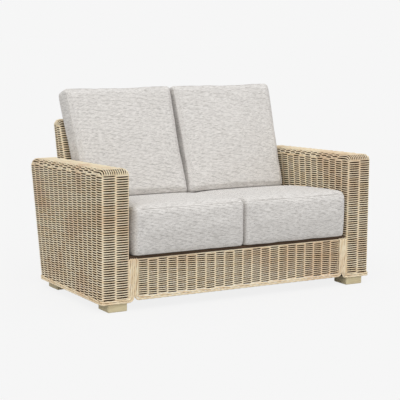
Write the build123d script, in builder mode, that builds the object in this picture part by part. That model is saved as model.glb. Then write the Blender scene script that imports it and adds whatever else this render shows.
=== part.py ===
from build123d import *
import os
from math import cos, hypot, radians, sin, tan

# Two-seat rattan sofa with four loose cushions, in millimetres.
# X runs across the sofa, its front faces -Y and +Z is up. The origin is on the floor,
# midway across the width and midway between the seat cushions' fronts and the back.

# Overall sizes
overall_width = 1400.0
back_height = 757.0
foot_height = 35.0
fit = 0.3

# Arms: woven boxes with a sloping top and a raked rear
arm_width = 138.0
arm_front_height = 612.0
arm_rear_height = 584.0
arm_base_depth = 647.0
arm_front_radius = 30.0
arm_rear_radius = 40.0
arm_edge_radius = 18.0
weave_wall = 9.0

# Angles of the raked rear, the leaning back and the seat deck, in degrees
rake_angle = 12.9
lean_angle = 20.7
deck_angle = 5.5

# Back: a woven wedge that the cushions lean on
back_top_depth = 67.0
back_roll_radius = 30.0
back_knee_height = 395.0
back_front_base = 185.0

# Rattan poles and cane rods
pole_radius = 14.0
pole_inset = 29.5
top_pole_radius = 20.5
stud_radius = 9.0
back_stud_count = 5
rod_radius = 4.5
rod_gap = 0.2
rod_bend = 10.0
rod_top_bend = 8.0

# Feet and the blocks they are screwed to
foot_width = 90.0
foot_length = 96.0
foot_side_inset = 12.0
foot_end_inset = 10.0
foot_edge = 2.5
block_length = 112.0
block_height = 30.0
block_corner_radius = 14.0

# Apron under the seat front
apron_lift = 8.0
apron_recess = 2.0
apron_top_gap = 17.0
apron_strut_radius = 8.0
apron_strut_count = 5

# Seat frame and deck
deck_front_height = 238.0
rail_front = 16.5
rail_width = 28.0
rail_depth = 45.0
rear_rail_margin = 2.0
webbing_width = 60.0
webbing_thickness = 2.2
webbing_count = 8

# Seat cushions
seat_thickness = 212.0
seat_overhang = 18.0
seat_base_overhang = 14.0
seat_bulge = 9.0
seat_crown = 22.0
seat_end_crown = 7.0
seat_back_gap = 7.0
seat_rear_bulge = 5.0
seat_round = 22.0
seat_side_gap = 6.0
cushion_middle_gap = 3.0

# Back cushions
back_side_gap = 1.5
cushion_boxing = 92.0
cushion_crown = 27.5
cushion_end_crown = 8.0
cushion_top_height = 909.0
cushion_top_crown = 7.0
cushion_top_end_crown = 1.5
cushion_round = 16.0
landing_front_share = 0.79
landing_rear_share = 0.97

# Foam cores inside the cushions
foam_margin = 24.0
foam_face_margin = 8.0
back_foam_base = 42.0

# Screws
coach_radius = 4.0
coach_length = 56.0
coach_head_radius = 7.0
coach_head_height = 5.0
coach_sink = 5.5
foot_screw_radius = 2.5
foot_screw_length = 48.0
foot_screw_head_radius = 5.0
foot_screw_head_height = 3.0
foot_screw_recess = 4.0
foot_screw_spacing = 56.0
back_screw_heights = [300.0, 500.0]
screw_clearance = 0.1

# Levels and places worked out from the sizes above
rake = tan(radians(rake_angle))
lean = tan(radians(lean_angle))
deck_slope = tan(radians(deck_angle))
inner_half = overall_width / 2 - arm_width
rod_pitch = 2 * rod_radius + rod_gap
seat_reach = (seat_overhang + seat_base_overhang) / 2 + seat_bulge
roll_rise = back_height - back_roll_radius - foot_height
roll_pull = back_roll_radius * (1 / cos(radians(rake_angle)) - 1)
rear_reach = arm_base_depth + roll_rise * rake - roll_pull
front_y = (seat_reach - rear_reach) / 2
weave_base = foot_height + 2 * rod_pitch + fit
apron_base = foot_height + apron_lift + 2 * rod_pitch + fit
apron_half = inner_half - 4 * rod_pitch - fit
block_top = foot_height + block_height
side_pole_inset = weave_wall + fit + pole_radius
wall_inset = weave_wall + fit


def rear_y(height, inset=0.0):
    """Rear face of the arms and back at a height, moved inwards by inset."""
    foot_line = front_y + arm_base_depth + (height - foot_height) * rake
    return foot_line - inset / cos(radians(rake_angle))


def rest_y(height, inset=0.0):
    """Leaning front face of the back at a height, moved into the back by inset."""
    top_line = rear_y(back_height) - back_top_depth + (height - back_height) * lean
    return top_line + inset / cos(radians(lean_angle))


def deck_z(y):
    """Height of the seat deck at a place along Y."""
    return deck_front_height - (y - front_y) * deck_slope


seat_rear_top = rest_y(back_knee_height) - seat_back_gap
seat_rear_low = seat_rear_top - seat_thickness * sin(radians(deck_angle))
seat_depth = (seat_rear_low - front_y) / cos(radians(deck_angle))
rear_rail_back = seat_depth + rear_rail_margin
arm_slope = (arm_front_height - arm_rear_height) / (rear_y(arm_rear_height) - front_y)


def arm_top(y, inset=0.0):
    """Height of the arm's sloping top at a place along Y, moved down by inset."""
    return arm_front_height - (y - front_y) * arm_slope - inset * hypot(1, arm_slope)


def arm_corner(inset):
    """Where the arm's top and rear faces meet, both moved inwards by inset."""
    level = arm_front_height - inset * hypot(1, arm_slope)
    height = (level - arm_slope * (rear_y(0, inset) - front_y)) / (1 + arm_slope * rake)
    return rear_y(height, inset), height


def arm_outline(inset, base):
    """Corners of the arm's side outline, as Y and Z, moved inwards by inset."""
    front = front_y + inset
    return [
        (front, base),
        (front, arm_top(front, inset)),
        arm_corner(inset),
        (rear_y(base, inset), base),
    ]


def pole(start, end, radius, mode=Mode.ADD):
    """A round pole between two points, in the part block that is open."""
    run = Vector(*end) - Vector(*start)
    with Locations(Plane(origin=start, z_dir=run)):
        Cylinder(radius, run.length, align=(Align.CENTER, Align.CENTER, Align.MIN), mode=mode)


def batten(low, high, mode=Mode.ADD):
    """A square-edged piece between two corners, in the part block that is open."""
    with Locations([Vector(*low)]):
        Box(*[b - a for a, b in zip(low, high)], align=(Align.MIN,) * 3, mode=mode)


def save(name, label):
    """Label a finished piece and write its STEP file."""
    name.part.label = label
    export_step(name.part, f"parts/{label}.step")


os.makedirs("parts", exist_ok=True)
sides = {"left": -1, "right": 1}
deck_plane = Plane(
    origin=(0, front_y, deck_front_height),
    x_dir=(1, 0, 0),
    z_dir=(0, sin(radians(deck_angle)), cos(radians(deck_angle))),
)

# Places of the coach screws: seat rails to the arm posts, back posts to the arm posts
arm_mid_y = front_y + arm_base_depth / 2
front_post_y = front_y + pole_inset
seat_screw_ys = [front_post_y, arm_mid_y]
rail_inner_x = inner_half - fit - rail_width
back_post_x = inner_half - side_pole_inset


def rail_mid_z(y):
    """Mid height of the seat side rails at a place along Y."""
    return deck_z(y) - webbing_thickness - fit - rail_depth / 2


def back_axis_y(height):
    """Axis of the raked back posts at a height."""
    return rear_y(height, side_pole_inset)


def screw_lines():
    """Start points of the coach screws on the right side, just under their sunk heads."""
    seat_x = rail_inner_x + coach_sink
    seat = [(seat_x, y, rail_mid_z(y)) for y in seat_screw_ys]
    back_x = back_post_x - pole_radius + coach_sink
    back = [(back_x, back_axis_y(height), height) for height in back_screw_heights]
    return seat + back


def cut_screw_holes(side):
    """Clear the coach screws' shanks and heads out of the part block that is open."""
    head_hole = coach_head_radius + screw_clearance
    for x, y, z in screw_lines():
        tip = (side * (x + coach_length), y, z)
        pole((side * x, y, z), tip, coach_radius + screw_clearance, Mode.SUBTRACT)
        mouth = (side * (x - 2 * coach_sink), y, z)
        pole(mouth, (side * x, y, z), head_hole, Mode.SUBTRACT)


# Arm weave: a rounded box, hollow and open underneath
def arm_weave(side):
    low_x = min(side * inner_half, side * overall_width / 2)
    with BuildPart() as weave:
        with BuildSketch(Plane.YZ.offset(low_x)):
            with BuildLine():
                FilletPolyline(
                    *arm_outline(0, weave_base),
                    radius=[0, arm_front_radius, arm_rear_radius, 0],
                    close=True,
                )
            make_face()
        extrude(amount=arm_width)
        ends = weave.faces().filter_by(Axis.X).edges()
        fillet(ends.filter_by(lambda e: e.center().Z > weave_base + weave_wall), arm_edge_radius)
        with BuildSketch(Plane.YZ.offset(low_x + weave_wall)):
            with BuildLine():
                FilletPolyline(
                    *arm_outline(weave_wall, foot_height),
                    radius=[0, arm_front_radius - weave_wall, arm_rear_radius - weave_wall, 0],
                    close=True,
                )
            make_face()
        extrude(amount=arm_width - 2 * weave_wall, mode=Mode.SUBTRACT)
        cut_screw_holes(side)
    return weave


# Arm frame: posts, rails and cross rails of rattan pole on two corner blocks
def arm_post_places(side):
    """The X places of an arm's inner and outer posts."""
    inner = side * (inner_half + side_pole_inset)
    outer = side * (overall_width / 2 - side_pole_inset)
    return [inner, outer]


rear_corner = arm_corner(pole_inset)
front_corner = (front_post_y, arm_top(front_post_y, pole_inset))
mid_cross = (arm_mid_y, arm_top(arm_mid_y, pole_inset))
cross_places = [front_corner, mid_cross, rear_corner]
bottom_rail_z = foot_height + block_height / 2
rear_block_back = rear_y(foot_height, wall_inset)
front_block_front = front_y + wall_inset


def cross_rails(side, radius, mode=Mode.ADD):
    """The short poles across an arm under its top."""
    inner = side * (inner_half + wall_inset)
    outer = side * (overall_width / 2 - wall_inset)
    for y, z in cross_places:
        pole((inner, y, z), (outer, y, z), radius, mode)


def arm_cross_rails(side):
    with BuildPart() as rails:
        cross_rails(side, pole_radius)
    return rails


def arm_posts(side):
    with BuildPart() as posts:
        for x in arm_post_places(side):
            pole((x, front_post_y, block_top), (x, *front_corner), pole_radius)
            pole((x, arm_mid_y, bottom_rail_z), (x, *mid_cross), pole_radius)
            pole((x, rear_y(block_top, pole_inset), block_top), (x, *rear_corner), pole_radius)
            bottom_start = (x, front_y, bottom_rail_z)
            bottom_end = (x, rear_y(bottom_rail_z), bottom_rail_z)
            pole(bottom_start, bottom_end, pole_radius + fit, Mode.SUBTRACT)
        rear_low = rear_y(block_top, pole_inset) - 2 * pole_radius
        low_x = min(side * inner_half, side * overall_width / 2)
        batten(
            (low_x, rear_low, foot_height),
            (low_x + arm_width, rear_y(block_top), block_top),
            Mode.SUBTRACT,
        )
        cross_rails(side, pole_radius + fit, Mode.SUBTRACT)
        cut_screw_holes(side)
    return posts


def arm_top_rails(side):
    with BuildPart() as rails:
        for x in arm_post_places(side):
            pole((x, *front_corner), (x, *mid_cross), pole_radius)
            pole((x, *mid_cross), (x, *rear_corner), pole_radius)
        cross_rails(side, pole_radius + fit, Mode.SUBTRACT)
        for x in arm_post_places(side):
            for y, z in cross_places[:2]:
                pole((x, y, block_top), (x, y, z), pole_radius + fit, Mode.SUBTRACT)
            rear_start = (x, rear_y(block_top, pole_inset), block_top)
            pole(rear_start, (x, *rear_corner), pole_radius + fit, Mode.SUBTRACT)
    return rails


def arm_bottom_rails(side):
    start = front_block_front + block_length
    end = rear_block_back - block_length
    with BuildPart() as rails:
        for x in arm_post_places(side):
            pole((x, start, bottom_rail_z), (x, end, bottom_rail_z), pole_radius)
    return rails


def foot_centres(side):
    """Plan centres of an arm's front and rear feet."""
    x = side * (inner_half + foot_side_inset + foot_width / 2)
    front = front_y + foot_end_inset + foot_length / 2
    rear = rear_y(foot_height) - 2 * foot_end_inset - foot_length / 2
    return [(x, front), (x, rear)]


def foot_screw_places(centre):
    """The two screw places of a foot, along its length."""
    x, y = centre
    return [(x, y - foot_screw_spacing / 2), (x, y + foot_screw_spacing / 2)]


def cut_foot_screws(centre):
    """Clear a foot's two screws and their recesses out of the open part block."""
    for x, y in foot_screw_places(centre):
        tip = foot_screw_recess + foot_screw_length
        pole((x, y, 0), (x, y, tip), foot_screw_radius + screw_clearance, Mode.SUBTRACT)
        head_top = foot_screw_recess + foot_screw_head_height
        head_hole = foot_screw_head_radius + screw_clearance
        pole((x, y, 0), (x, y, head_top), head_hole, Mode.SUBTRACT)


def corner_blocks(side):
    low_x = min(side * inner_half, side * overall_width / 2) + wall_inset
    high_x = low_x + arm_width - 2 * wall_inset
    with BuildPart() as blocks:
        for low_y in (front_block_front, rear_block_back - block_length):
            batten((low_x, low_y, foot_height), (high_x, low_y + block_length, block_top))
        fillet(blocks.edges().filter_by(Axis.Z), block_corner_radius)
        for centre in foot_centres(side):
            cut_foot_screws(centre)
    return blocks


def foot(centre):
    x, y = centre
    with BuildPart() as block:
        batten(
            (x - foot_width / 2, y - foot_length / 2, 0),
            (x + foot_width / 2, y + foot_length / 2, foot_height),
        )
        chamfer(block.edges().filter_by(Axis.Z), foot_edge)
        chamfer(block.faces().sort_by(Axis.Z)[0].edges(), foot_edge)
        cut_foot_screws(centre)
    return block


def foot_screws():
    with BuildPart() as screws:
        for side in sides.values():
            for centre in foot_centres(side):
                for x, y in foot_screw_places(centre):
                    under = foot_screw_recess + foot_screw_head_height
                    tip = foot_screw_recess + foot_screw_length
                    pole((x, y, under), (x, y, tip), foot_screw_radius)
                    pole((x, y, foot_screw_recess), (x, y, under), foot_screw_head_radius)
    return screws


def coach_screws():
    with BuildPart() as screws:
        for side in sides.values():
            for x, y, z in screw_lines():
                pole((side * x, y, z), (side * (x + coach_length), y, z), coach_radius)
                head = side * (x - coach_head_height)
                pole((head, y, z), (side * x, y, z), coach_head_radius)
    return screws


# Cane rods: they run down beside the apron and turn along the bottom edges
rod_top_z = deck_front_height - apron_top_gap
rod_back_y = front_y + rail_front * cos(radians(deck_angle)) - 2 * rod_gap
rod_back_y -= (deck_front_height - rod_top_z + rod_radius) * sin(radians(deck_angle))
rod_y = front_y + rod_radius


def post_rod_x(index):
    """Distance from the middle of the sofa to a post rod, counted from the arm."""
    return inner_half - rod_radius - index * rod_pitch


def arm_border(side):
    with BuildPart() as border:
        for index in range(2):
            x = side * post_rod_x(index)
            z = foot_height + rod_radius + (1 - index) * rod_pitch
            outer_x = side * (overall_width / 2 - rod_radius)
            end_x = side * (inner_half + rod_radius)
            back_y = rear_y(z, rod_radius)
            bend = rod_bend + index * rod_pitch
            with BuildLine() as route:
                FilletPolyline(
                    (x, rod_back_y, rod_top_z),
                    (x, rod_y, rod_top_z),
                    (x, rod_y, z),
                    (outer_x, rod_y, z),
                    (outer_x, back_y, z),
                    (end_x, back_y, z),
                    radius=[rod_top_bend, bend, rod_bend, rod_bend],
                )
            with BuildSketch(Plane(origin=route.line @ 0, z_dir=route.line % 0)):
                Circle(rod_radius)
            sweep()
    return border


def apron_border():
    with BuildPart() as border:
        for index in (2, 3):
            x = post_rod_x(index)
            z = foot_height + apron_lift + rod_radius + (index - 2) * rod_pitch
            bend = rod_bend + (3 - index) * rod_pitch
            with BuildLine() as route:
                FilletPolyline(
                    (-x, rod_back_y, rod_top_z),
                    (-x, rod_y, rod_top_z),
                    (-x, rod_y, z),
                    (x, rod_y, z),
                    (x, rod_y, rod_top_z),
                    (x, rod_back_y, rod_top_z),
                    radius=[rod_top_bend, bend, bend, rod_top_bend],
                )
            with BuildSketch(Plane(origin=route.line @ 0, z_dir=route.line % 0)):
                Circle(rod_radius)
            sweep()
    return border


def back_border():
    reach = inner_half - fit
    with BuildPart() as border:
        for index in range(2):
            z = foot_height + rod_radius + index * rod_pitch
            y = rear_y(z, rod_radius)
            pole((-reach, y, z), (reach, y, z), rod_radius)
    return border


# Apron: a woven panel on a lower pole and short struts
apron_front = front_y + apron_recess
apron_back = apron_front + weave_wall
apron_top = deck_front_height - apron_top_gap
lower_pole_y = apron_back + fit + stud_radius
lower_pole_z = apron_base + stud_radius


def apron_weave():
    with BuildPart() as weave:
        batten((-apron_half, apron_front, apron_base), (apron_half, apron_back, apron_top))
        top_edges = weave.faces().sort_by(Axis.Z)[-1].edges().filter_by(Axis.X)
        fillet(top_edges.sort_by(Axis.Y)[0], weave_wall / 2)
        low_edges = weave.edges().filter_by(Axis.Y).group_by(Axis.Z)[0]
        fillet(low_edges, rod_bend - rod_radius - fit)
    return weave


def apron_lower_pole():
    reach = inner_half - fit
    with BuildPart() as rail:
        pole(
            (-reach, lower_pole_y, lower_pole_z),
            (reach, lower_pole_y, lower_pole_z),
            stud_radius,
        )
    return rail


rail_base = -webbing_thickness - fit - rail_depth


def apron_struts():
    strut_y = apron_back + fit + apron_strut_radius
    spread = 2 * apron_half / apron_strut_count
    with BuildPart() as struts:
        for index in range(apron_strut_count):
            x = (index - (apron_strut_count - 1) / 2) * spread
            top = deck_z(front_y + rail_front)
            pole((x, strut_y, lower_pole_z), (x, strut_y, top), apron_strut_radius)
        low = (-inner_half, lower_pole_y, lower_pole_z)
        pole(low, (inner_half, lower_pole_y, lower_pole_z), stud_radius + fit, Mode.SUBTRACT)
        with Locations(deck_plane):
            with Locations((0, 0, rail_base - fit)):
                Box(
                    overall_width,
                    4 * rail_width,
                    2 * rail_depth,
                    align=(Align.CENTER, Align.CENTER, Align.MIN),
                    mode=Mode.SUBTRACT,
                )
    return struts


# Seat frame: hardwood rails in the sloping plane of the deck
def deck_batten(x_low, x_high, y_low, y_high, z_low, z_high):
    """A batten between limits counted in the deck's own plane."""
    with Locations(deck_plane):
        with Locations((x_low, y_low, z_low)):
            Box(
                x_high - x_low,
                y_high - y_low,
                z_high - z_low,
                align=(Align.MIN,) * 3,
            )


rail_top = -webbing_thickness - fit
rear_rail_front = rear_rail_back - rail_width


def seat_front_rail():
    reach = rail_inner_x - fit
    with BuildPart() as rail:
        deck_batten(-reach, reach, rail_front, rail_front + rail_width, rail_base, rail_top)
    return rail


def seat_rear_rail():
    reach = rail_inner_x - fit
    with BuildPart() as rail:
        deck_batten(-reach, reach, rear_rail_front, rear_rail_back, rail_base, rail_top)
    return rail


def seat_side_rail(side):
    low_x = min(side * rail_inner_x, side * (rail_inner_x + rail_width))
    rear_level = deck_z(front_y + arm_base_depth) - rail_depth / 2
    rail_end = (back_axis_y(rear_level) - front_y) / cos(radians(deck_angle))
    with BuildPart() as rail:
        deck_batten(low_x, low_x + rail_width, rail_front, rail_end, rail_base, rail_top)
        post_low = (side * back_post_x, back_axis_y(foot_height), foot_height)
        post_high = (side * back_post_x, back_axis_y(back_height), back_height)
        pole(post_low, post_high, pole_radius + fit, Mode.SUBTRACT)
        cut_screw_holes(side)
    return rail


def seat_middle_rail():
    with BuildPart() as rail:
        deck_batten(
            -rail_width / 2,
            rail_width / 2,
            rail_front + rail_width + fit,
            rear_rail_front - fit,
            rail_base,
            rail_top,
        )
    return rail


def seat_webbing():
    pitch = 2 * rail_inner_x / webbing_count
    with BuildPart() as straps:
        for index in range(webbing_count):
            x = (index - (webbing_count - 1) / 2) * pitch
            deck_batten(
                x - webbing_width / 2,
                x + webbing_width / 2,
                rail_front,
                rear_rail_back,
                rail_top,
                -fit,
            )
    return straps


# Back: a woven wedge closed at both ends, with a skirt down to the bottom edge
def back_outline(inset, base):
    """Corners of the back's wedge, as Y and Z, moved inwards by inset."""
    knee = rest_y(back_knee_height) + inset
    top = back_height - inset
    return [
        (knee, base),
        (knee, back_knee_height),
        (rest_y(top, inset), top),
        (rear_y(top, inset), top),
        (rear_y(base, inset), base),
    ]


def back_weave():
    reach = inner_half - fit
    inner_reach = reach - weave_wall
    roll = back_roll_radius - weave_wall
    skirt_slope = back_front_base - weave_base
    with BuildPart() as weave:
        with BuildSketch(Plane.YZ.offset(-reach)):
            with BuildLine():
                FilletPolyline(
                    *back_outline(0, back_front_base),
                    radius=[0, 0, back_roll_radius, back_roll_radius, 0],
                    close=True,
                )
            make_face()
        extrude(amount=2 * reach)
        ends = weave.faces().filter_by(Axis.X).edges()
        lowest = back_front_base + weave_wall
        fillet(ends.filter_by(lambda e: e.center().Z > lowest), weave_wall)
        with BuildSketch(Plane.YZ.offset(-inner_reach)):
            with BuildLine():
                FilletPolyline(
                    *back_outline(weave_wall, back_front_base - weave_wall),
                    radius=[0, 0, roll, roll, 0],
                    close=True,
                )
            make_face()
        extrude(amount=2 * inner_reach, mode=Mode.SUBTRACT)
        with BuildSketch(Plane.YZ.offset(-reach)):
            with BuildLine():
                Polyline(
                    (rear_y(weave_base), weave_base),
                    (rear_y(back_front_base), back_front_base),
                    (rear_y(back_front_base, weave_wall), back_front_base),
                    (rear_y(back_front_base, weave_wall) - skirt_slope * rake, weave_base),
                    close=True,
                )
            make_face()
        extrude(amount=2 * reach)
        for side in sides.values():
            cut_screw_holes(side)
    return weave


top_pole_z = back_height - back_roll_radius
top_pole_y = rear_y(top_pole_z, back_roll_radius)
stud_inset = wall_inset + stud_radius
knee_y = rest_y(back_knee_height) + stud_inset
knee_z = back_knee_height - stud_radius
base_pole_z = back_front_base + stud_radius
back_foot_pole_z = weave_base + pole_radius
back_foot_pole_y = rear_y(back_foot_pole_z, side_pole_inset)
inside_reach = inner_half - fit - wall_inset


def cross_pole(y, z, reach, radius, mode=Mode.ADD):
    """A pole across the whole sofa between its two sides."""
    pole((-reach, y, z), (reach, y, z), radius, mode)


def back_top_pole():
    with BuildPart() as rail:
        cross_pole(top_pole_y, top_pole_z, inside_reach, top_pole_radius)
    return rail


def back_knee_pole():
    with BuildPart() as rail:
        cross_pole(knee_y, knee_z, inside_reach, stud_radius)
    return rail


def back_base_pole():
    with BuildPart() as rail:
        cross_pole(knee_y, base_pole_z, inside_reach, stud_radius)
    return rail


def back_foot_pole():
    with BuildPart() as rail:
        cross_pole(back_foot_pole_y, back_foot_pole_z, inner_half - fit, pole_radius)
    return rail


def back_posts():
    with BuildPart() as posts:
        for x in (-back_post_x, 0, back_post_x):
            low = (x, back_axis_y(back_foot_pole_z), back_foot_pole_z)
            high = (x, back_axis_y(top_pole_z), top_pole_z)
            pole(low, high, pole_radius)
        cross_pole(top_pole_y, top_pole_z, inner_half, top_pole_radius + fit, Mode.SUBTRACT)
        foot_hole = pole_radius + fit
        cross_pole(back_foot_pole_y, back_foot_pole_z, inner_half, foot_hole, Mode.SUBTRACT)
        for side in sides.values():
            cut_screw_holes(side)
    return posts


def back_studs():
    lean_high_y = knee_y + (top_pole_z - knee_z) * lean
    spread = 2 * (inside_reach - stud_radius) / (back_stud_count - 1)
    with BuildPart() as studs:
        for index in range(back_stud_count):
            x = (index - (back_stud_count - 1) / 2) * spread
            pole((x, knee_y, knee_z), (x, lean_high_y, top_pole_z), stud_radius)
            pole((x, knee_y, base_pole_z), (x, knee_y, knee_z), stud_radius)
        hole = stud_radius + fit
        cross_pole(knee_y, knee_z, inner_half, hole, Mode.SUBTRACT)
        cross_pole(knee_y, base_pole_z, inner_half, hole, Mode.SUBTRACT)
        cross_pole(top_pole_y, top_pole_z, inner_half, top_pole_radius + fit, Mode.SUBTRACT)
        for x in (-back_post_x, 0, back_post_x):
            low = (x, back_axis_y(back_foot_pole_z), back_foot_pole_z)
            high = (x, back_axis_y(top_pole_z), top_pole_z)
            pole(low, high, pole_radius + fit, Mode.SUBTRACT)
    return studs


# Cushions: crowned boxes lofted across the sofa, drawn in towards their corners
cushion_inner_x = cushion_middle_gap / 2
seat_outer_x = inner_half - seat_side_gap
back_outer_x = inner_half - back_side_gap
crown_shares = [0, 0.75, 1, 0.75, 0]


def pushed_middle(start, end, push):
    """The middle of a run between two YZ points, pushed out to its left."""
    run_y = end[0] - start[0]
    run_z = end[1] - start[1]
    out = push / hypot(run_y, run_z)
    return (start[0] + end[0]) / 2 - out * run_z, (start[1] + end[1]) / 2 + out * run_y


def cushion(side, outer_x, corners, end_pushes, mid_pushes, edge_radius, foam):
    """A cushion over four YZ corners out to outer_x, hollow for its foam core.

    The corners run from the bottom front upwards, over the top and down the rear.
    Each face swells from its push at the cushion's ends to its push in the middle.
    """
    pushes = list(zip(end_pushes, mid_pushes))
    step = (outer_x - cushion_inner_x) / (len(crown_shares) - 1)
    with BuildPart() as body:
        for index, share in enumerate(crown_shares):
            with BuildSketch(Plane.YZ.offset(side * (cushion_inner_x + index * step))):
                with BuildLine():
                    for start, end, (low, high) in zip(corners, corners[1:], pushes):
                        middle = pushed_middle(start, end, low + share * (high - low))
                        ThreePointArc(start, middle, end)
                    Line(corners[3], corners[0])
                make_face()
        loft()
        fillet(body.edges(), edge_radius)
        foam(side, Mode.SUBTRACT)
    return body


def foam_block(side, outer_x, plane, y_limits, z_limits, mode):
    """A block as wide as a cushion's foam core, between limits in the given plane."""
    middle = (outer_x + cushion_inner_x) / 2
    with Locations(plane):
        with Locations((side * middle, y_limits[0], z_limits[0])):
            Box(
                outer_x - cushion_inner_x - 2 * foam_margin,
                y_limits[1] - y_limits[0],
                z_limits[1] - z_limits[0],
                align=(Align.CENTER, Align.MIN, Align.MIN),
                mode=mode,
            )


# Seat cushions: flat underneath, on the sloping deck
seat_front_low = front_y - seat_base_overhang
seat_front_top = front_y - seat_overhang
seat_top_z = deck_front_height + seat_thickness
seat_rear_top_z = deck_z(seat_rear_low) + seat_thickness * cos(radians(deck_angle))
seat_corners = [
    (seat_front_low, deck_z(seat_front_low)),
    (seat_front_top, seat_top_z),
    (seat_rear_top, seat_rear_top_z),
    (seat_rear_low, deck_z(seat_rear_low)),
]
seat_end_pushes = [seat_bulge, seat_end_crown, seat_rear_bulge]
seat_mid_pushes = [seat_bulge, seat_crown, seat_rear_bulge]


def cut_seat_foam(side, mode):
    """The foam core of a seat cushion, in the part block that is open."""
    depth_limits = (foam_margin, seat_depth - foam_margin)
    height_limits = (foam_margin, seat_thickness - foam_margin)
    foam_block(side, seat_outer_x, deck_plane, depth_limits, height_limits, mode)


def seat_cushion(side):
    return cushion(
        side,
        seat_outer_x,
        seat_corners,
        seat_end_pushes,
        seat_mid_pushes,
        seat_round,
        cut_seat_foam,
    )


def seat_foam(side):
    with BuildPart() as core:
        cut_seat_foam(side, Mode.ADD)
    return core


def seat_surface(share):
    """Height of the seat cushion's top at a share of its depth."""
    chord = seat_top_z + share * (seat_rear_top_z - seat_top_z)
    return chord + seat_crown * (1 - (2 * share - 1) ** 2)


# Back cushions: they stand on the rear of the seat cushions and lean on the back
cushion_rear_inset = -(cushion_crown + fit)
cushion_front_inset = cushion_rear_inset - cushion_boxing


def landing_point(share, inset):
    """Where a leaning cushion face meets the seat cushion near a share of its depth."""
    height = seat_surface(share) + 3 * fit
    return rest_y(height, inset), height


low_front = landing_point(landing_front_share, cushion_front_inset)
low_rear = landing_point(landing_rear_share, cushion_rear_inset)
top_front = (rest_y(cushion_top_height, cushion_front_inset), cushion_top_height)
top_rear = (
    top_front[0] + cushion_boxing * cos(radians(lean_angle)),
    top_front[1] - cushion_boxing * sin(radians(lean_angle)),
)
back_corners = [low_front, top_front, top_rear, low_rear]
back_end_pushes = [cushion_end_crown, cushion_top_end_crown, cushion_end_crown]
back_mid_pushes = [cushion_crown, cushion_top_crown, cushion_crown]
lean_plane = Plane(
    origin=(0, *low_front),
    x_dir=(1, 0, 0),
    z_dir=(0, sin(radians(lean_angle)), cos(radians(lean_angle))),
)
back_length = (top_front[1] - low_front[1]) / cos(radians(lean_angle))


def cut_back_foam(side, mode):
    """The foam core of a back cushion, in the part block that is open."""
    depth_limits = (foam_face_margin, cushion_boxing - foam_face_margin)
    length_limits = (back_foam_base, back_length - foam_margin)
    foam_block(side, back_outer_x, lean_plane, depth_limits, length_limits, mode)


def back_cushion(side):
    return cushion(
        side,
        back_outer_x,
        back_corners,
        back_end_pushes,
        back_mid_pushes,
        cushion_round,
        cut_back_foam,
    )


def back_foam(side):
    with BuildPart() as core:
        cut_back_foam(side, Mode.ADD)
    return core


# The whole sofa, piece by piece
shared_pieces = [
    seat_front_rail,
    seat_rear_rail,
    seat_middle_rail,
    seat_webbing,
    apron_weave,
    apron_border,
    apron_lower_pole,
    apron_struts,
    back_weave,
    back_border,
    back_posts,
    back_studs,
    back_top_pole,
    back_knee_pole,
    back_base_pole,
    back_foot_pole,
    foot_screws,
    coach_screws,
]
sided_pieces = [
    arm_weave,
    arm_border,
    arm_posts,
    arm_top_rails,
    arm_bottom_rails,
    arm_cross_rails,
    corner_blocks,
    seat_side_rail,
    seat_cushion,
    seat_foam,
    back_cushion,
    back_foam,
]
for make in shared_pieces:
    save(make(), make.__name__)
for name, side in sides.items():
    for make in sided_pieces:
        save(make(side), f"{name}_{make.__name__}")
    for place, centre in zip(("front", "rear"), foot_centres(side)):
        save(foot(centre), f"{name}_{place}_foot")
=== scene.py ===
"""A two-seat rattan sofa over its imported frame: woven panels, twisted borders and cushions."""

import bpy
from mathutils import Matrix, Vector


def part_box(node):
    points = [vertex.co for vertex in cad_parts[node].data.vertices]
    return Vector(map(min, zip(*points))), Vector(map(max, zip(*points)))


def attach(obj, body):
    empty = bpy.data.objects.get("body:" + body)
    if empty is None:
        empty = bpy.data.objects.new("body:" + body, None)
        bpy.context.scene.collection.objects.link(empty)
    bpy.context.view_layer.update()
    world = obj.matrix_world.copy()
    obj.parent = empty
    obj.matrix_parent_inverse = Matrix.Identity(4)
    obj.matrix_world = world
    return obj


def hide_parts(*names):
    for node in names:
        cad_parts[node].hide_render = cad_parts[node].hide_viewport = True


bl_info = {
    "name": "Rattan Sofa",
    "version": (1, 0, 0),
    "blender": (4, 5, 0),
    "location": "View3D > Sidebar > Sofa",
    "description": "Weaves, borders, cushions and finishes of a two-seat rattan sofa",
    "category": "Add Mesh",
}

from math import cos, hypot, pi, radians, sin, tan

import bpy
import numpy as np
from bpy.props import FloatProperty, FloatVectorProperty, IntProperty, PointerProperty
from mathutils import Matrix, Vector

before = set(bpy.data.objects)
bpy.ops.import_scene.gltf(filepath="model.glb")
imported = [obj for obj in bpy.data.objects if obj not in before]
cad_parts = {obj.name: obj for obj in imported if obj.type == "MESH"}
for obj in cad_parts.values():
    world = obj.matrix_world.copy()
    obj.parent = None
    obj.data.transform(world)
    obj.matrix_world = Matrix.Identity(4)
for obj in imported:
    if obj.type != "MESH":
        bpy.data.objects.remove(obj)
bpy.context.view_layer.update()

MM = 0.001
SIDES = {"left": -1, "right": 1}

# Places read from the frame, in metres
arm_low, arm_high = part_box("right_arm_weave")
apron_low, apron_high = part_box("apron_weave")
back_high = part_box("back_weave")[1]
arm_inner_x, arm_outer_x = arm_low.x, arm_high.x
front_y = arm_low.y
weave_base = arm_low.z
apron_base, apron_top = apron_low.z, apron_high.z
apron_half = apron_high.x
back_half = back_high.x
back_height = back_high.z
foot_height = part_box("right_front_foot")[1].z

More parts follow.
